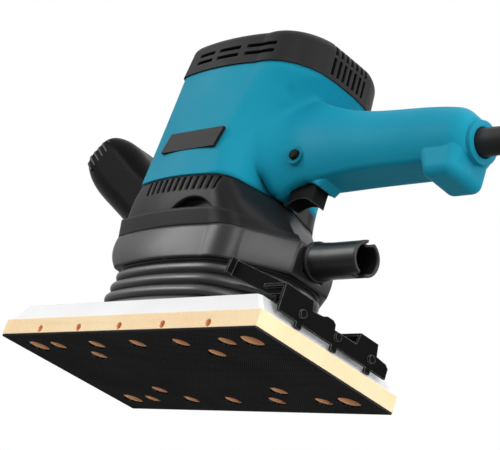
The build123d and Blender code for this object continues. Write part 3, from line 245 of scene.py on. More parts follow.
def makeDustFilm():
    group, given, out = newGroup(
        "dustFilm",
        [("Amount", number, 0.1), ("Scale", number, 60.0)],
        [("Mask", number)],
    )
    face = addNode(group, "ShaderNodeNewGeometry")
    facing = splitAxes(group, face.outputs["Normal"])
    upward = mathNode(group, "MULTIPLY", facing["Z"], filmOnTop, clamp=True)
    lying = mathNode(group, "ADD", upward, filmAnywhere)
    noise = noiseNode(group, given.outputs["Scale"], detail=8.0, rough=0.7)
    clumps = mathNode(group, "POWER", noise, filmClumps)
    film = mathNode(group, "MULTIPLY", lying, clumps)
    mask = mathNode(group, "MULTIPLY", film, given.outputs["Amount"], clamp=True)
    link(group, mask, out.inputs["Mask"])
    return group


# wider rounding of the normal where the handle grows out of the motor barrel
rootPlace = {"x": 0.041, "y": 0.027, "z": 0.136, "flat": 0.55, "fade": (0.022, 0.040)}


def makeRootBlend(shape):
    group, given, out = newGroup(
        "rootBlend", [("Near", number, 0.006), ("Away", number, 0.001)], [("Radius", number)],
    )
    place = addNode(group, "ShaderNodeTexCoord")
    axes = splitAxes(group, place.outputs["Object"])
    alongX = mathNode(group, "SUBTRACT", axes["X"], shape["x"])
    alongY = mathNode(group, "SUBTRACT", mathNode(group, "ABSOLUTE", axes["Y"]), shape["y"])
    above = mathNode(group, "SUBTRACT", axes["Z"], shape["z"])
    alongZ = mathNode(group, "MULTIPLY", above, shape["flat"])
    squareX, squareY, squareZ = (mathNode(group, "MULTIPLY", way, way) for way in (alongX, alongY, alongZ))
    level = mathNode(group, "ADD", squareX, squareY)
    away = mathNode(group, "SQRT", mathNode(group, "ADD", level, squareZ))
    limits = given.outputs["Near"], given.outputs["Away"]
    link(group, rangeNode(group, away, shape["fade"], limits, "SMOOTHSTEP"), out.inputs["Radius"])
    return group


edgeWearAndHighlight, mouldGrain = makeEdgeWearAndHighlight(), makeMouldGrain()
toneDrift, dustFilm = makeToneDrift(), makeDustFilm()
rootBlend = makeRootBlend(rootPlace)
dustTone = (0.62, 0.54, 0.43, 1)


def newMaterial(name):
    material = bpy.data.materials.new(name)
    material.use_nodes = True
    tree = material.node_tree
    tree.nodes.clear()
    out = addNode(tree, "ShaderNodeOutputMaterial")
    shader = addNode(tree, "ShaderNodeBsdfPrincipled")
    link(tree, shader.outputs[0], out.inputs["Surface"])
    return material, tree, shader


# moulded, cast and machined finishes
# each look's wear colour lightens its edges, partly as rubbed wear and partly as painted highlight
wearAndHighlightReach = 1.6
looks = {
    "tealPlastic": {
        "tone": (0.009, 0.268, 0.392, 1), "other": (0.007, 0.248, 0.366, 1),
        "wearAndHighlight": (0.09, 0.40, 0.52, 1), "rough": (0.44, 0.54),
        "grain": 2400.0, "depth": 0.00004, "bump": 0.16,
        "round": 0.0011, "amount": 0.08, "dust": 0.02, "specular": 0.06, "blend": 0.008,
    },
    "blackPlastic": {
        "tone": (0.0075, 0.0075, 0.0078, 1), "other": (0.0105, 0.0105, 0.0108, 1),
        "wearAndHighlight": (0.06, 0.06, 0.06, 1), "rough": (0.28, 0.36),
        "grain": 2200.0, "depth": 0.00005, "bump": 0.22,
        "round": 0.0026, "amount": 0.20, "dust": 0.02, "specular": 0.33,
    },
    "lowerBlack": {
        "tone": (0.0075, 0.0075, 0.0078, 1), "other": (0.0105, 0.0105, 0.0108, 1),
        "wearAndHighlight": (0.06, 0.06, 0.06, 1), "rough": (0.30, 0.38),
        "grain": 2200.0, "depth": 0.00005, "bump": 0.22,
        "round": 0.0022, "amount": 0.20, "dust": 0.02, "specular": 0.09,
    },
    "coverBlack": {
        "tone": (0.0125, 0.0125, 0.013, 1), "other": (0.016, 0.016, 0.0165, 1),
        "wearAndHighlight": (0.06, 0.06, 0.06, 1), "rough": (0.44, 0.52),
        "grain": 1700.0, "depth": 0.00006, "bump": 0.30,
        "round": 0.0010, "amount": 0.16, "dust": 0.02, "specular": 0.08,
    },
    "gripBlack": {
        "tone": (0.003, 0.003, 0.0031, 1), "other": (0.0045, 0.0045, 0.0046, 1),
        "wearAndHighlight": (0.05, 0.05, 0.05, 1), "rough": (0.24, 0.32),
        "grain": 2000.0, "depth": 0.00004, "bump": 0.18,
        "round": 0.0008, "amount": 0.18, "dust": 0.01, "specular": 0.011,
    },
    "ribBlack": {
        "tone": (0.005, 0.005, 0.0052, 1), "other": (0.007, 0.007, 0.0072, 1),
        "wearAndHighlight": (0.05, 0.05, 0.05, 1), "rough": (0.20, 0.26),
        "grain": 2000.0, "depth": 0.00003, "bump": 0.12,
        "round": 0.0003, "amount": 0.1, "dust": 0.0, "specular": 0.2,
    },
    "triggerBlack": {
        "tone": (0.004, 0.004, 0.0042, 1), "other": (0.006, 0.006, 0.0062, 1),
        "wearAndHighlight": (0.20, 0.20, 0.20, 1), "rough": (0.52, 0.62),
        "grain": 2600.0, "depth": 0.00003, "bump": 0.14,
        "round": 0.0008, "amount": 0.3, "dust": 0.01, "specular": 0.07,
    },
    "badgeBlack": {
        "tone": (0.012, 0.012, 0.0125, 1), "other": (0.015, 0.015, 0.0155, 1),
        "wearAndHighlight": (0.16, 0.16, 0.16, 1), "rough": (0.26, 0.32),
        "grain": 5200.0, "depth": 0.00002, "bump": 0.10,
        "round": 0.0003, "amount": 0.3, "dust": 0.0, "specular": 0.04,
    },
    "fanPlastic": {
        "tone": (0.05, 0.052, 0.055, 1), "other": (0.07, 0.07, 0.072, 1),
        "wearAndHighlight": (0.2, 0.2, 0.2, 1), "rough": (0.42, 0.55),
        "grain": 1800.0, "depth": 0.00005, "bump": 0.25,
        "round": 0.0004, "amount": 0.2, "dust": 0.35, "specular": 0.4,
    },
    "blackRubber": {
        "tone": (0.0075, 0.0075, 0.0077, 1), "other": (0.0115, 0.0113, 0.011, 1),
        "wearAndHighlight": (0.05, 0.05, 0.05, 1), "rough": (0.32, 0.42),
        "grain": 1500.0, "depth": 0.00006, "bump": 0.26,
        "round": 0.0006, "amount": 0.10, "dust": 0.02, "specular": 0.66,
    },
    "cordRubber": {
        "tone": (0.009, 0.009, 0.0092, 1), "other": (0.0125, 0.0125, 0.0127, 1),
        "wearAndHighlight": (0.05, 0.05, 0.05, 1), "rough": (0.38, 0.50),
        "grain": 1300.0, "depth": 0.00006, "bump": 0.25,
        "round": 0.0005, "amount": 0.1, "dust": 0.02, "specular": 0.30,
    },
    "clampBlack": {
        "tone": (0.0045, 0.0045, 0.0047, 1), "other": (0.0065, 0.0065, 0.0067, 1),
        "wearAndHighlight": (0.30, 0.30, 0.31, 1), "rough": (0.60, 0.70),
        "grain": 1900.0, "depth": 0.00004, "bump": 0.22,
        "round": 0.0005, "amount": 0.4, "dust": 0.01, "specular": 0.015,
    },
    "castPlate": {
        "tone": (0.74, 0.745, 0.75, 1), "other": (0.68, 0.685, 0.695, 1),
        "wearAndHighlight": (0.92, 0.92, 0.93, 1), "rough": (0.36, 0.5),
        "grain": 900.0, "depth": 0.00009, "bump": 0.28,
        "round": 0.0006, "amount": 0.4, "dust": 0.0, "specular": 0.35, "metal": 0.08,
    },
    "bearingSteel": {
        "tone": (0.58, 0.58, 0.6, 1), "other": (0.5, 0.5, 0.52, 1),
        "wearAndHighlight": (0.75, 0.75, 0.76, 1), "rough": (0.16, 0.28),
        "grain": 3000.0, "depth": 0.00002, "bump": 0.08,
        "round": 0.0003, "amount": 0.3, "dust": 0.0, "specular": 0.5, "metal": 1.0,
    },
    "screwSteel": {
        "tone": (0.52, 0.51, 0.49, 1), "other": (0.42, 0.41, 0.39, 1),
        "wearAndHighlight": (0.72, 0.71, 0.69, 1), "rough": (0.26, 0.42),
        "grain": 2600.0, "depth": 0.00003, "bump": 0.12,
        "round": 0.0003, "amount": 0.5, "dust": 0.1, "specular": 0.5, "metal": 1.0,
    },
    "coreSteel": {
        "tone": (0.33, 0.33, 0.35, 1), "other": (0.25, 0.25, 0.27, 1),
        "wearAndHighlight": (0.5, 0.5, 0.52, 1), "rough": (0.38, 0.55),
        "grain": 1400.0, "depth": 0.00005, "bump": 0.3,
        "round": 0.0003, "amount": 0.3, "dust": 0.0, "specular": 0.5, "metal": 1.0,
    },
    "brassMetal": {
        "tone": (0.68, 0.49, 0.20, 1), "other": (0.58, 0.40, 0.16, 1),
        "wearAndHighlight": (0.85, 0.68, 0.34, 1), "rough": (0.24, 0.4),
        "grain": 2400.0, "depth": 0.00003, "bump": 0.12,
        "round": 0.0003, "amount": 0.4, "dust": 0.0, "specular": 0.5, "metal": 1.0,
    },
    "pinMetal": {
        "tone": (0.66, 0.65, 0.62, 1), "other": (0.56, 0.55, 0.52, 1),
        "wearAndHighlight": (0.82, 0.81, 0.78, 1), "rough": (0.18, 0.32),
        "grain": 2800.0, "depth": 0.00002, "bump": 0.1,
        "round": 0.0003, "amount": 0.4, "dust": 0.0, "specular": 0.5, "metal": 1.0,
    },
    "carbonBlock": {
        "tone": (0.022, 0.022, 0.024, 1), "other": (0.04, 0.04, 0.042, 1),
        "wearAndHighlight": (0.12, 0.12, 0.12, 1), "rough": (0.5, 0.65),
        "grain": 1600.0, "depth": 0.00005, "bump": 0.3,
        "round": 0.0003, "amount": 0.4, "dust": 0.0, "specular": 0.4, "metal": 0.3,
    },
}


def finishMaterial(name, look):
    material, tree, shader = newMaterial(name)
    low, high = look["rough"]
    rounding = look["round"]
    if "blend" in look:
        blend = placeGroup(tree, rootBlend, {"Near": look["blend"], "Away": look["round"]})
        rounding = blend.outputs["Radius"]
    reach = look["round"] * wearAndHighlightReach
    tone = placeGroup(tree, toneDrift, {"Main": look["tone"], "Other": look["other"]})
    edge = placeGroup(tree, edgeWearAndHighlight, {"Round": rounding, "Reach": reach, "Amount": look["amount"]})
    grain = placeGroup(tree, mouldGrain, {"Scale": look["grain"], "Rough Low": low, "Rough High": high})
    dust = placeGroup(tree, dustFilm, {"Amount": look["dust"]})
    # edge mask lightens rims towards the wear colour: rubbed wear and painted highlight
    wornAndHighlit = mixColour(tree, edge.outputs["Mask"], tone.outputs["Tone"], look["wearAndHighlight"])
    dusty = mixColour(tree, dust.outputs["Mask"], wornAndHighlit, dustTone)
    addBump(tree, shader, grain.outputs["Height"], look["bump"], look["depth"], edge.outputs["Normal"])
    link(tree, dusty, shader.inputs["Base Color"])
    link(tree, grain.outputs["Roughness"], shader.inputs["Roughness"])
    shader.inputs["Specular IOR Level"].default_value = look["specular"]
    shader.inputs["Metallic"].default_value = look.get("metal", 0.0)
    return material


finishes = {name: finishMaterial(name, look) for name, look in looks.items()}


# open-cell foam: pores, pale skin, painted shade on the walls of the drilled holes, edges lightened as wear
# and painted highlight
foamLook = {
    "tone": (0.99, 0.78, 0.49, 1), "other": (0.97, 0.71, 0.42, 1), "drift": 40.0,
    "hole": (0.98, 0.54, 0.27, 1), "wearAndHighlight": (0.98, 0.84, 0.64, 1),
    "cells": 1900.0, "pores": 1.4, "poreDark": (0.86, 0.86, 0.86, 1), "poreLight": (1.04, 1.04, 1.04, 1),
    "round": 0.0005, "reach": 0.0012, "amount": 0.55,
    "bump": 0.35, "depth": 0.00012, "rough": 0.78, "specular": 0.25,
}


def foamMaterial(name, look):
    material, tree, shader = newMaterial(name)
    tone = placeGroup(tree, toneDrift, {"Main": look["tone"], "Other": look["other"], "Scale": look["drift"]})
    edge = placeGroup(
        tree, edgeWearAndHighlight, {"Round": look["round"], "Reach": look["reach"], "Amount": look["amount"]},
    )
    place = addNode(tree, "ShaderNodeTexCoord")
    cells = addNode(tree, "ShaderNodeTexVoronoi", feature="F1")
    cells.inputs["Scale"].default_value = look["cells"]
    link(tree, place.outputs["Object"], cells.inputs["Vector"])
    pores = mathNode(tree, "MULTIPLY", cells.outputs["Distance"], look["pores"], clamp=True)
    speck = mixColour(tree, pores, look["poreDark"], look["poreLight"])
    body = mixColour(tree, 1.0, tone.outputs["Tone"], speck, "MULTIPLY")
    holeMark = addNode(tree, "ShaderNodeAttribute", attribute_name="holeWall")
    # hole walls take a deeper orange: painted shade in the holes
    holeShaded = mixColour(tree, holeMark.outputs["Fac"], body, look["hole"])
    # edges lightened: rubbed wear and painted highlight
    rim = mixColour(tree, edge.outputs["Mask"], holeShaded, look["wearAndHighlight"])
    addBump(tree, shader, cells.outputs["Distance"], look["bump"], look["depth"], edge.outputs["Normal"])
    link(tree, rim, shader.inputs["Base Color"])
    shader.inputs["Roughness"].default_value = look["rough"]
    shader.inputs["Specular IOR Level"].default_value = look["specular"]
    return material


# hook face: rows of fine hooks on a black weave
hookLook = {
    "pitch": 0.0016, "tone": (0.004, 0.004, 0.0044, 1), "tips": (0.075, 0.075, 0.078, 1),
    "rows": 1.5, "ridge": 0.35, "fresh": (1, 1, 1, 1), "faded": (0.8, 0.8, 0.8, 1), "drift": 26.0,
    "bump": 0.6, "depth": 0.0003, "rough": 0.8, "specular": 0.0,
}


def hookMaterial(name, look):
    material, tree, shader = newMaterial(name)
    place = addNode(tree, "ShaderNodeTexCoord")
    axes = splitAxes(tree, place.outputs["Object"])
    waves = []
    for axis in ("X", "Y"):
        turns = mathNode(tree, "MULTIPLY", axes[axis], 2 * math.pi / look["pitch"])
        waves.append(mathNode(tree, "MULTIPLY_ADD", mathNode(tree, "SINE", turns), 0.5, 0.5))
    rows = mathNode(tree, "POWER", waves[0], look["rows"])
    hooks = mathNode(tree, "MULTIPLY", rows, waves[1])
    ridge = mathNode(tree, "MULTIPLY", rows, look["ridge"])
    height = mathNode(tree, "ADD", hooks, ridge)
    tones = {"Main": look["fresh"], "Other": look["faded"], "Scale": look["drift"]}
    drift = placeGroup(tree, toneDrift, tones)
    thread = mixColour(tree, height, look["tone"], look["tips"])
    base = mixColour(tree, 1.0, thread, drift.outputs["Tone"], "MULTIPLY")
    addBump(tree, shader, height, look["bump"], look["depth"])
    link(tree, base, shader.inputs["Base Color"])
    shader.inputs["Roughness"].default_value = look["rough"]
    shader.inputs["Specular IOR Level"].default_value = look["specular"]
    return material


# enamelled copper wire laid in turns, with painted shade in the gaps between turns
copperLook = {
    "tone": (0.46, 0.165, 0.065, 1), "other": (0.36, 0.11, 0.04, 1), "drift": 90.0,
    "wire": 500.0, "wander": 1.2, "gap": (0.45, 0.45, 0.45, 1), "crest": (1, 1, 1, 1),
    "bump": 0.6, "depth": 0.0002, "metal": 0.8, "rough": 0.34, "coat": 0.4,
}


def copperMaterial(name, look):
    material, tree, shader = newMaterial(name)
    tone = placeGroup(tree, toneDrift, {"Main": look["tone"], "Other": look["other"], "Scale": look["drift"]})
    place = addNode(tree, "ShaderNodeTexCoord")
    wire = addNode(tree, "ShaderNodeTexWave", wave_type="BANDS", bands_direction="DIAGONAL")
    wire.inputs["Scale"].default_value = look["wire"]
    wire.inputs["Distortion"].default_value = look["wander"]
    link(tree, place.outputs["Object"], wire.inputs["Vector"])
    # gap colour darkens the band troughs: painted shade between turns
    shade = mixColour(tree, wire.outputs["Fac"], look["gap"], look["crest"])
    base = mixColour(tree, 1.0, tone.outputs["Tone"], shade, "MULTIPLY")
    addBump(tree, shader, wire.outputs["Fac"], look["bump"], look["depth"])
    link(tree, base, shader.inputs["Base Color"])
    shader.inputs["Metallic"].default_value = look["metal"]
    shader.inputs["Roughness"].default_value = look["rough"]
    shader.inputs["Coat Weight"].default_value = look["coat"]
    return material


# woven strap of the cord tie
strapLook = {
    "tone": (0.016, 0.016, 0.017, 1), "thread": (0.045, 0.045, 0.047, 1), "pitch": 0.0011,
    "bump": 0.7, "depth": 0.0003, "rough": 0.8, "sheen": 0.2,
}


def strapMaterial(name, look):
    material, tree, shader = newMaterial(name)
    place = addNode(tree, "ShaderNodeTexCoord")
    axes = splitAxes(tree, place.outputs["Object"])
    along = mathNode(tree, "ADD", axes["X"], axes["Z"])
    turns = 2 * math.pi / look["pitch"]
    warp, weft = (
        mathNode(tree, "SINE", mathNode(tree, "MULTIPLY", way, turns)) for way in (along, axes["Y"])
    )
    weave = mathNode(tree, "MULTIPLY_ADD", mathNode(tree, "MULTIPLY", warp, weft), 0.5, 0.5)
    base = mixColour(tree, weave, look["tone"], look["thread"])
    addBump(tree, shader, weave, look["bump"], look["depth"])
    link(tree, base, shader.inputs["Base Color"])
    shader.inputs["Roughness"].default_value = look["rough"]
    shader.inputs["Sheen Weight"].default_value = look["sheen"]
    return material


finishes["padFoam"] = foamMaterial("padFoam", foamLook)
finishes["hookBlack"] = hookMaterial("hookBlack", hookLook)
finishes["copperWire"] = copperMaterial("copperWire", copperLook)
finishes["strapWeave"] = strapMaterial("strapWeave", strapLook)
print("materials:", len(finishes))


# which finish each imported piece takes
pieceFinish = {
    "tealPlastic": ("housing_left", "housing_right"),
    "blackPlastic": ("dust_casing", "inlet_ring", "dust_nozzle"),
    "lowerBlack": ("lower_housing",),
    "coverBlack": ("top_cover",),
    "gripBlack": ("front_grip",),
    "triggerBlack": ("trigger", "lock_button"),
    "badgeBlack": ("badge_plate",),
    "fanPlastic": ("cooling_fan", "dust_fan", "switch_body", "cord_clamp", "motor_bracket"),
    "blackRubber": ("bellows", "rubber_legs"),
    "cordRubber": ("cord_guard", "cord_run", "cord_coil", "cord_tail", "inner_lead", "plug_body"),
    "strapWeave": ("cord_tie",),
    "hookBlack": ("hook_face",),
    "padFoam": ("pad_foam",),
    "castPlate": ("base_plate",),
    "clampBlack": ("rear_clamp", "front_clamp", "rear_clamp_pin", "front_clamp_pin"),
    "bearingSteel": ("pad_bearing", "upper_bearing", "lower_bearing", "bearing_retainer", "motor_shaft"),
    "screwSteel": (
        "retainer_screws", "housing_screws", "cover_screws", "casing_screws", "grip_bolts", "brush_springs",
        "balance_weight",
    ),
    "coreSteel": ("armature_core", "stator_core"),
    "copperWire": ("armature_windings", "stator_coils", "commutator"),
    "brassMetal": ("brush_holders",),
    "pinMetal": ("plug_pins",),
    "carbonBlock": ("carbon_brushes",),
}


def dress(piece, finish):
    piece.data.materials.clear()
    piece.data.materials.append(finishes[finish])


dressed = set()
for finish, names in pieceFinish.items():
    for name in names:
        dress(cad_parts[name], finish)
        dressed.add(name)
print("packed pieces dressed:", len(dressed), "left:", sorted(set(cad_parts) - dressed))


# mesh helpers
def meshFrom(bm, name, crease):
    mesh = bpy.data.meshes.new(name)
    bm.normal_update()
    bm.to_mesh(mesh)
    bm.free()
    mesh.shade_smooth()
    mesh.set_sharp_from_angle(angle=math.radians(crease))
    return mesh


def newPiece(name, bm, body, finish, replaced=(), crease=40.0):
    piece = bpy.data.objects.new(name, meshFrom(bm, name, crease))
    scene.collection.objects.link(piece)
    dress(piece, finish)
    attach(piece, body)
    if replaced:
        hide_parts(*replaced)
    return piece


def skinRings(bm, rings, closed=False):
    rows = [[bm.verts.new(point) for point in ring] for ring in rings]
    count = len(rows[0])
    last = len(rows) if closed else len(rows) - 1
    for index in range(last):
        low, high = rows[index], rows[(index + 1) % len(rows)]
        for step in range(count):
            after = (step + 1) % count
            bm.faces.new((low[step], low[after], high[after], high[step]))
    return rows


def capEnds(bm, rows):
    bm.faces.new(list(reversed(rows[0])))
    bm.faces.new(rows[-1])


def faceOutward(bm):
    bmesh.ops.recalc_face_normals(bm, faces=bm.faces)


def lathe(bm, profile, origin, axis, sides):
    # turns (distance along, radius) pairs round an axis
    axis = Vector(axis).normalized()
    side = axis.orthogonal().normalized()
    other = axis.cross(side)
    rings = []
    for reach, radius in profile:
        centre = Vector(origin) + axis * reach
        ring = []
        for step in range(sides):
            angle = 2 * math.pi * step / sides
            ring.append(centre + (side * math.cos(angle) + other * math.sin(angle)) * radius)
        rings.append(ring)
    capEnds(bm, skinRings(bm, rings))


# foam cushion and hook face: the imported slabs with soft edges
foamShape = {
    "soften": 0.00055, "segments": 3, "flatTurn": 1.0, "edgeTurn": 32.0, "crease": 12.0, "holeInset": 0.0003,
}
hookShape = {"soften": 0.0003, "segments": 2, "flatTurn": 1.0, "edgeTurn": 32.0, "crease": 12.0}
weldGap = 0.000002


def softenedCopy(node, shape):
    bm = bmesh.new()
    bm.from_mesh(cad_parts[node].data)
    bmesh.ops.remove_doubles(bm, verts=bm.verts, dist=weldGap)
    bmesh.ops.dissolve_limit(
        bm, angle_limit=math.radians(shape["flatTurn"]), verts=bm.verts, edges=bm.edges,
    )
    turn = math.radians(shape["edgeTurn"])
    sharp = [edge for edge in bm.edges if edge.is_manifold and edge.calc_face_angle(0) > turn]
    bmesh.ops.bevel(
        bm, geom=sharp, offset=shape["soften"], offset_type="OFFSET", segments=shape["segments"],
        profile=0.5, affect="EDGES", clamp_overlap=True,
    )
    bmesh.ops.triangulate(bm, faces=[face for face in bm.faces if len(face.verts) > 4])
    return bm


def addFoam(shape):
    # faces inside the slab's box are walls of the holes, which take the painted hole shade
    bm = softenedCopy("pad_foam", shape)
    low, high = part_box("pad_foam")
    mark = bm.faces.layers.float.new("holeWall")
    inset = shape["holeInset"]
    for face in bm.faces:
        spot = face.calc_center_median()
        inside = all(low[axis] + inset < spot[axis] < high[axis] - inset for axis in range(3))
        face[mark] = 1.0 if inside else 0.0
    piece = newPiece("padCushion", bm, "pad", "padFoam", ["pad_foam"], shape["crease"])


def addHookFace(shape):
    bm = softenedCopy("hook_face", shape)
    newPiece("hookSheet", bm, "pad", "hookBlack", ["hook_face"], shape["crease"])


addFoam(foamShape)
addHookFace(hookShape)
print("pad cushion and hook face")


# bellows: one moulded skin with round folds that spread towards the plate
bellowsShape = {
    "low": 0.0223, "high": 0.0535, "pleats": 4, "flare": 0.0045, "fold": 0.0034, "inset": 0.0016,
    "wall": 0.0024, "crease": 0.86, "roundness": 0.55, "footSwell": 0.9, "straightTop": 0.6,
    "front": (-0.054, 0.039), "flank": (-0.006, 0.0454), "turn": (0.032, 0.0438),
    "shoulder": (0.054, 0.035), "tail": (0.080, 0.016), "bulge": 0.003,
    "flankPoints": 24, "turnPoints": 12, "ringPoints": 176, "ringPasses": 26, "samples": 14, "innerSkip": 4,
    "sharp": 60.0,
}


def arcThrough(start, middle, end, count):
    # points on the circle through three places, without the last
    (ax, ay), (bx, by), (cx, cy) = start, middle, end
    aSquare, bSquare, cSquare = ax**2 + ay**2, bx**2 + by**2, cx**2 + cy**2
    scale = 2 * (ax * (by - cy) + bx * (cy - ay) + cx * (ay - by))
    centreX = (aSquare * (by - cy) + bSquare * (cy - ay) + cSquare * (ay - by)) / scale
    centreY = (aSquare * (cx - bx) + bSquare * (ax - cx) + cSquare * (bx - ax)) / scale
    radius = math.hypot(ax - centreX, ay - centreY)
    first = math.atan2(ay - centreY, ax - centreX)
    sweep = math.atan2(cy - centreY, cx - centreX) - first
    sweep = (sweep + math.pi) % (2 * math.pi) - math.pi
    angles = [first + sweep * step / count for step in range(count)]
    return [(centreX + radius * math.cos(angle), centreY + radius * math.sin(angle)) for angle in angles]


def outlineLoop(shape):
    front, flank, turn = shape["front"], shape["flank"], shape["turn"]
    shoulder, tail = shape["shoulder"], shape["tail"]
    runX, runY = shoulder[0] - turn[0], turn[1] - shoulder[1]
    chord = math.hypot(runX, runY)
    crown = (
        (turn[0] + shoulder[0]) / 2 + shape["bulge"] * runY / chord,
        (turn[1] + shoulder[1]) / 2 + shape["bulge"] * runX / chord,
    )
    half = arcThrough(front, flank, turn, shape["flankPoints"])
    half += arcThrough(turn, crown, shoulder, shape["turnPoints"])
    half += [shoulder, tail]
    loop = half + [(x, -y) for x, y in reversed(half)]
    return evenLoop(loop, shape["ringPoints"], shape["ringPasses"])


def evenLoop(loop, count, passes):
    # evenly spaced points on a closed line, then corners eased
    spans = [math.dist(place, loop[(index + 1) % len(loop)]) for index, place in enumerate(loop)]
    total, points, reach, index = sum(spans), [], 0.0, 0
    for step in range(count):
        goal = total * step / count
        while reach + spans[index] < goal:
            reach += spans[index]
            index += 1
        share = (goal - reach) / spans[index]
        start, end = loop[index], loop[(index + 1) % len(loop)]
        points.append((start[0] + (end[0] - start[0]) * share, start[1] + (end[1] - start[1]) * share))
    for easing in range(passes):
        eased = []
        for step in range(count):
            behind, here, ahead = points[step - 1], points[step], points[(step + 1) % count]
            eased.append(tuple(here[axis] * 0.5 + (behind[axis] + ahead[axis]) * 0.25 for axis in (0, 1)))
        points = eased
    return points


def grownLoop(loop, amount):
    moved = []
    for step, here in enumerate(loop):
        ahead, behind = loop[(step + 1) % len(loop)], loop[step - 1]
        along = Vector((ahead[0] - behind[0], ahead[1] - behind[1])).normalized()
        outward = Vector((along.y, -along.x))
        if outward.dot(Vector(here)) < 0:
            outward.negate()
        moved.append((here[0] + outward.x * amount, here[1] + outward.y * amount))
    return moved


def addBellows(shape):
    loop = outlineLoop(shape)
    pleats, samples = shape["pleats"], shape["samples"]
    pitch = (shape["high"] - shape["low"]) / pleats
    outer = []
    for step in range(pleats * samples + 1):
        share = step / samples
        spread = shape["flare"] * (1 - min(share, pleats - shape["straightTop"]) / pleats) - shape["inset"]
        phase = (share - shape["crease"]) % 1.0
        swell = max(math.sin(math.pi * phase), 0.0) ** shape["roundness"]
        if share < 1 - shape["crease"]:
            swell = max(swell, shape["footSwell"])  # foot that lies on the plate
        outer.append((spread - shape["fold"] * (1 - swell), shape["low"] + share * pitch))
    inner = [(reach - shape["wall"], z) for reach, z in outer[::-shape["innerSkip"]]]
    rings = [[(x, y, z) for x, y in grownLoop(loop, reach)] for reach, z in outer + inner]
    bm = bmesh.new()
    skinRings(bm, rings, closed=True)
    faceOutward(bm)
    newPiece("bellowsSkin", bm, "housing", "blackRubber", ["bellows"], shape["sharp"])


# raised ribs round the end of the front grip
ribShape = {
    "top": (-0.141, 0.1725), "low": (-0.160, 0.1505), "half": 0.021, "bend": 0.013, "corner": 0.008,
    "flatHalf": 0.0015, "flatGrowth": 0.33, "flatRise": 0.0065, "wrap": 0.017, "tip": 0.6,
    "radius": 0.0012, "sink": 0.0005, "pitch": 0.0042, "count": 6, "steps": 8, "sides": 10,
}


def ribPath(shape, rise):
    # depth, side and outward direction along one rib, from flank to flank
    corner, bend = shape["corner"], shape["bend"]

    def flank(depth):
        over = max(abs(rise) - shape["flatHalf"] - shape["flatGrowth"] * depth, 0.0)
        return shape["half"] - bend + math.sqrt(bend**2 - over**2) - shape["sink"]

    over = max(abs(rise) - shape["flatRise"], 0.0)
    start = corner - math.sqrt(corner**2 - over**2) + shape["sink"]
    first = [(shape["wrap"], -flank(shape["wrap"]), 0.0, -1.0)]
    for step in range(shape["steps"] + 1):
        angle = math.pi / 2 * step / shape["steps"]
        outward = (-math.sin(angle), -math.cos(angle))
        depth = start + corner * (1 + outward[0])
        first.append((depth, corner * (1 + outward[1]) - flank(start + corner), *outward))
    return first + [(depth, -y, outDepth, -outY) for depth, y, outDepth, outY in reversed(first)]


def addGripRibs(shape):
    top, low = (Vector((x, 0, z)) for x, z in (shape["top"], shape["low"]))
    upward, across = (top - low).normalized(), Vector((0, 1, 0))
    inward = Vector((upward.z, 0, -upward.x))
    turns = [2 * math.pi * side / shape["sides"] for side in range(shape["sides"])]
    bm = bmesh.new()
    for rib in range(shape["count"]):
        rise = (rib - (shape["count"] - 1) / 2) * shape["pitch"]
        rings = []
        for depth, y, outDepth, outY in ribPath(shape, rise):
            centre = (top + low) / 2 + upward * rise + inward * depth + across * y
            outward = inward * outDepth + across * outY
            radius = shape["radius"] * (shape["tip"] if depth == shape["wrap"] else 1.0)
            spokes = [outward * math.cos(turn) + upward * math.sin(turn) for turn in turns]
            rings.append([centre + spoke * radius for spoke in spokes])
        capEnds(bm, skinRings(bm, rings))
    faceOutward(bm)
    newPiece("gripRibs", bm, "housing", "ribBlack")


addGripRibs(ribShape)
print("grip ribs")


# waisted rubber legs that carry the plate
legShape = {
    "foot": 0.008, "waist": 0.0062, "collar": 0.005, "flat": 0.8, "ease": 0.0006, "easedFoot": 0.94,
    "steps": 12, "fullness": 0.6, "places": ((-0.036, 0.027), (0.040, 0.025)), "sides": 40,
}


def addLegs(shape):
    low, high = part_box("rubber_legs")
    tall, foot, collar = high.z - low.z, shape["foot"], shape["collar"]
    below = [(0.0, foot * shape["easedFoot"]), (shape["ease"], foot), (collar * shape["flat"], foot)]
    waist = []
    for step in range(1, shape["steps"]):
        share = step / shape["steps"]
        dip = (foot - shape["waist"]) * math.sin(math.pi * share) ** shape["fullness"]
        waist.append((collar + (tall - 2 * collar) * share, foot - dip))
    profile = below + waist + [(tall - reach, radius) for reach, radius in reversed(below)]
    bm = bmesh.new()
    for x, y in shape["places"]:
        for side in (1, -1):
            lathe(bm, profile, (x, side * y, low.z), (0, 0, 1), shape["sides"])
    faceOutward(bm)
    newPiece("rubberLegs", bm, "housing", "blackRubber", ["rubber_legs"])


addBellows(bellowsShape)
addLegs(legShape)
print("bellows and legs")


# cord guard: flange, smooth sleeve, then ring grooves towards the tip
guardShape = {
    "flange": 0.0105, "flangeLength": 0.005, "root": 0.0086, "tip": 0.0064,
    "bore": 0.00415, "boreDepth": 0.014, "tipLength": 0.002,
    "grooves": 5, "grooveStart": 0.030, "grooveWidth": 0.0022, "grooveDepth": 0.0010,
    "flangeEase": 0.0006, "tipEase": 0.0008, "lead": 0.0004, "nick": 0.0003, "sides": 56,
}


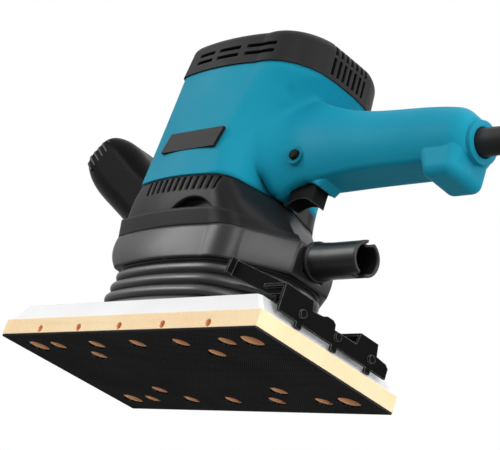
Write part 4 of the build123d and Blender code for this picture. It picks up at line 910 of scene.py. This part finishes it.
def addGuard(shape):
    low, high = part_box("cord_guard")
    length, middle = high.x - low.x, (low.z + high.z) / 2

    def sleeve(reach):
        return shape["root"] + (shape["tip"] - shape["root"]) * reach / length

    flange, end, ease = shape["flange"], shape["flangeLength"], shape["flangeEase"]
    profile = [(0.0, flange - ease), (ease, flange), (end - ease, flange), (end, flange - ease)]
    profile += [(end + shape["lead"], sleeve(end))]
    pitch = (length - shape["tipLength"] - shape["grooveStart"]) / shape["grooves"]
    for groove in range(shape["grooves"]):
        near = shape["grooveStart"] + groove * pitch
        far = near + shape["grooveWidth"]
        deep, nick = sleeve(near) - shape["grooveDepth"], shape["nick"]
        profile += [(near - shape["lead"], sleeve(near)), (near, sleeve(near) - nick), (near + nick, deep)]
        profile += [(far - nick, deep), (far, sleeve(far) - nick), (far + shape["lead"], sleeve(far))]
    ease = shape["tipEase"]
    profile += [(length - ease, sleeve(length)), (length, sleeve(length) - ease)]
    profile += [(length, shape["bore"]), (length - shape["boreDepth"], shape["bore"])]
    bm = bmesh.new()
    lathe(bm, profile, (low.x, 0.0, middle), (1, 0, 0), shape["sides"])
    faceOutward(bm)
    newPiece("cordGuard", bm, "housing", "cordRubber", ["cord_guard"])


addGuard(guardShape)


# mains lead: down from the handle, then put away in a tied coil, plug beside it
leadShape = {
    "radius": 0.004, "smoothness": 6,
    "route": [
        (0.206, 0.0, 0.135), (0.2285, 0.0, 0.135), (0.247, -0.0049, 0.1264), (0.2588, -0.0135, 0.1113),
        (0.2637, -0.0306, 0.0812), (0.2733, -0.0472, 0.0519), (0.2879, -0.0547, 0.0388),
        (0.3079, -0.058, 0.033), (0.322, -0.058, 0.033),
    ],
    "coilCentre": (0.322, -0.006), "coilRadius": 0.052, "turnPitch": 0.010, "layers": 4, "halfTurns": 3,
    "layerStep": 0.009, "coilTop": 0.033, "perHalfTurn": 8,
    "tail": [
        (0.310, 0.046, 0.006), (0.298, 0.0475, 0.00925), (0.286, 0.050, 0.0125), (0.272, 0.0528, 0.0125),
    ],
    "exit": (0.222, 0.0, 0.135), "length": 2.30,
}


def coilPlace(shape, halfTurns):
    cycle = shape["halfTurns"] + 1
    layer = int(halfTurns // cycle)
    into = halfTurns - layer * cycle
    spiral = min(into, shape["halfTurns"]) * shape["turnPitch"] / 2
    climb = max(into - shape["halfTurns"], 0)
    inner = shape["coilRadius"] - shape["halfTurns"] * shape["turnPitch"] / 2
    radius = inner + spiral if layer % 2 else shape["coilRadius"] - spiral
    radius /= math.cos(math.pi / (2 * shape["perHalfTurn"]))  # the spline runs inside its points
    angle = math.pi * halfTurns - math.pi / 2
    drop = shape["layerStep"] * (layer + (1 - math.cos(math.pi * climb)) / 2)
    x, y = shape["coilCentre"]
    return (x + radius * math.cos(angle), y + radius * math.sin(angle), shape["coilTop"] - drop)


def addLead(shape):
    total = (shape["layers"] * (shape["halfTurns"] + 1) - 1) * shape["perHalfTurn"]
    coil = [coilPlace(shape, step / shape["perHalfTurn"]) for step in range(1, total + 1)]
    points = shape["route"] + coil + shape["tail"]
    data = bpy.data.curves.new("mainsLead", "CURVE")
    data.dimensions = "3D"
    data.bevel_depth = shape["radius"]
    data.bevel_resolution = shape["smoothness"]
    data.resolution_u = shape["smoothness"]
    data.use_fill_caps = True
    spline = data.splines.new("NURBS")
    spline.points.add(len(points) - 1)
    for point, place in zip(spline.points, points):
        point.co = (*place, 1.0)
    spline.order_u = 3
    spline.use_endpoint_u = True
    lead = bpy.data.objects.new("mainsLead", data)
    scene.collection.objects.link(lead)
    dress(lead, "cordRubber")
    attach(lead, "housing")
    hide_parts("cord_run", "cord_coil", "cord_tail")
    return lead


# strap round the coil, its end pressed down on itself
tieShape = {
    "thick": 0.0011, "corner": 0.0042, "steps": 8, "rows": 6, "crown": 0.00018, "crease": 50.0,
    "tuckStart": 3, "tuck": (0.2, 0.5, 0.8, 0.95, 1.0, 1.0),
    "overlap": 0.016, "flapSteps": 10, "pressed": 0.86,
}


def addTie(shape):
    low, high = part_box("cord_tie")
    radius, thick = shape["corner"], shape["thick"]
    corners = [
        (high.x - radius, high.z - radius, 0.0), (low.x + radius, high.z - radius, 90.0),
        (low.x + radius, low.z + radius, 180.0), (high.x - radius, low.z + radius, 270.0),
    ]
    path = []
    for x, z, start in corners:
        for step in range(shape["steps"] + 1):
            angle = math.radians(start + 90 * step / shape["steps"])
            path.append((x, z, math.cos(angle), math.sin(angle)))

    def section(centreX, centreZ, outX, outZ, lift):
        outside, inside = [], []
        for row in range(shape["rows"] + 1):
            share = row / shape["rows"]
            puff = shape["crown"] * math.sin(math.pi * share)
            y = low.y + (high.y - low.y) * share
            for ring, reach in ((outside, radius + lift + puff), (inside, radius + lift - thick)):
                ring.append((centreX + outX * reach, y, centreZ + outZ * reach))
        return outside + inside[::-1]

    bm = bmesh.new()
    skinRings(bm, [section(*spot, 0.0) for spot in path], closed=True)
    # the loose end rises off the loop, then lies on it
    flap = [section(*spot, thick * rise) for spot, rise in zip(path[shape["tuckStart"]:], shape["tuck"])]
    for step in range(1, shape["flapSteps"] + 1):
        x = high.x - radius - shape["overlap"] * step / shape["flapSteps"]
        rise = 1.0 if step < shape["flapSteps"] else shape["pressed"]
        flap.append(section(x, high.z - radius, 0.0, 1.0, thick * rise))
    capEnds(bm, skinRings(bm, flap))
    faceOutward(bm)
    return newPiece("coilStrap", bm, "housing", "strapWeave", ["cord_tie"], shape["crease"])


lead = addLead(leadShape)
strap = addTie(tieShape)


# plain stage: white round about, soft boxes on all sides, a pale floor seen from above only
stageLook = {
    "floor": (0.86, 0.86, 0.86, 1), "floorSize": 4.0, "floorDrop": 0.0004, "floorFade": (0.35, 1.0),
    "floorRough": 0.7, "floorSpecular": 0.1,
    "surround": 0.42, "mirrorRise": (-0.40, 0.10), "mirrorGlow": (0.25, 1.0),
    "lamps": {
        "frontBox": {"aim": (-0.67, -0.67, 0.35), "far": 1.7, "size": (0.75, 0.75), "power": 10.6},
        "sideStrip": {"aim": (0.36, -0.82, 0.45), "far": 1.7, "size": (0.30, 1.1), "power": 8.0},
        "cornerBox": {"aim": (0.92, -0.20, 0.42), "far": 1.7, "size": (0.9, 0.9), "power": 11.0},
        "rearBox": {"aim": (0.70, 0.52, 0.50), "far": 1.7, "size": (0.7, 0.7), "power": 5.0},
        "lowFill": {"aim": (0.96, -0.10, -0.14), "far": 1.7, "size": (0.8, 0.8), "power": 11.0, "matt": True},
        "topBox": {"aim": (0.10, 0.15, 1.0), "far": 1.7, "size": (1.0, 1.0), "power": 7.0},
        "backFill": {"aim": (0.10, 0.95, 0.45), "far": 1.8, "size": (0.8, 0.8), "power": 5.0, "matt": True},
    },
    "centre": (0.04, 0.0, 0.10),
}


def addSurround(look):
    world = bpy.data.worlds.new("whiteSurround")
    scene.world = world
    world.use_nodes = True
    tree = world.node_tree
    tree.nodes.clear()
    out = addNode(tree, "ShaderNodeOutputWorld")
    seen, soft = addNode(tree, "ShaderNodeBackground"), addNode(tree, "ShaderNodeBackground")
    seen.inputs["Color"].default_value = (1, 1, 1, 1)
    soft.inputs["Color"].default_value = (1, 1, 1, 1)
    soft.inputs["Strength"].default_value = look["surround"]
    path = addNode(tree, "ShaderNodeLightPath")
    # reflections find it darker below the horizon
    aim = addNode(tree, "ShaderNodeTexCoord")
    height = splitAxes(tree, aim.outputs["Generated"])["Z"]
    mirror = rangeNode(tree, height, look["mirrorRise"], look["mirrorGlow"], "SMOOTHSTEP")
    link(tree, mathNode(tree, "MAXIMUM", path.outputs["Is Camera Ray"], mirror), seen.inputs["Strength"])
    shiny = mathNode(tree, "MAXIMUM", path.outputs["Is Glossy Ray"], path.outputs["Is Transmission Ray"])
    straight = mathNode(tree, "MAXIMUM", path.outputs["Is Camera Ray"], shiny)
    mixed = mixShaders(tree, straight, soft.outputs[0], seen.outputs[0])
    link(tree, mixed, out.inputs["Surface"])


def addFloor(look):
    bm = bmesh.new()
    half, drop = look["floorSize"] / 2, look["floorDrop"]
    corners = ((-half, -half), (half, -half), (half, half), (-half, half))
    bm.faces.new([bm.verts.new((x, y, -drop)) for x, y in corners])
    mesh = bpy.data.meshes.new("paleFloor")
    bm.to_mesh(mesh)
    bm.free()
    floor = bpy.data.objects.new("paleFloor", mesh)
    scene.collection.objects.link(floor)
    material, tree, shader = newMaterial("paleFloor")
    shader.inputs["Base Color"].default_value = look["floor"]
    shader.inputs["Roughness"].default_value = look["floorRough"]
    shader.inputs["Specular IOR Level"].default_value = look["floorSpecular"]
    # white far away, and clear to all but camera rays that meet its upper side
    place = addNode(tree, "ShaderNodeTexCoord")
    away = addNode(tree, "ShaderNodeVectorMath", operation="LENGTH")
    link(tree, place.outputs["Object"], away.inputs[0])
    fade = rangeNode(tree, away.outputs["Value"], look["floorFade"], kind="SMOOTHSTEP")
    glow = addNode(tree, "ShaderNodeEmission")
    ground = mixShaders(tree, fade, shader.outputs[0], glow.outputs[0])
    path, face = addNode(tree, "ShaderNodeLightPath"), addNode(tree, "ShaderNodeNewGeometry")
    above = mathNode(tree, "SUBTRACT", 1.0, face.outputs["Backfacing"])
    shown = mathNode(tree, "MULTIPLY", above, path.outputs["Is Camera Ray"])
    clear = addNode(tree, "ShaderNodeBsdfTransparent")
    mixed = mixShaders(tree, shown, clear.outputs[0], ground)
    link(tree, mixed, tree.nodes["Material Output"].inputs["Surface"])
    mesh.materials.append(material)


def addLamps(look):
    for name, lamp in look["lamps"].items():
        data = bpy.data.lights.new(name, "AREA")
        data.shape = "RECTANGLE"
        data.size, data.size_y = lamp["size"]
        data.energy = lamp["power"]
        light = bpy.data.objects.new(name, data)
        aim = Vector(lamp["aim"]).normalized()
        light.location = Vector(look["centre"]) + aim * lamp["far"]
        light.rotation_euler = aim.to_track_quat("Z", "Y").to_euler()
        light.visible_glossy = not lamp.get("matt", False)
        scene.collection.objects.link(light)


addSurround(stageLook)
addFloor(stageLook)
addLamps(stageLook)
print("stage and lamps")
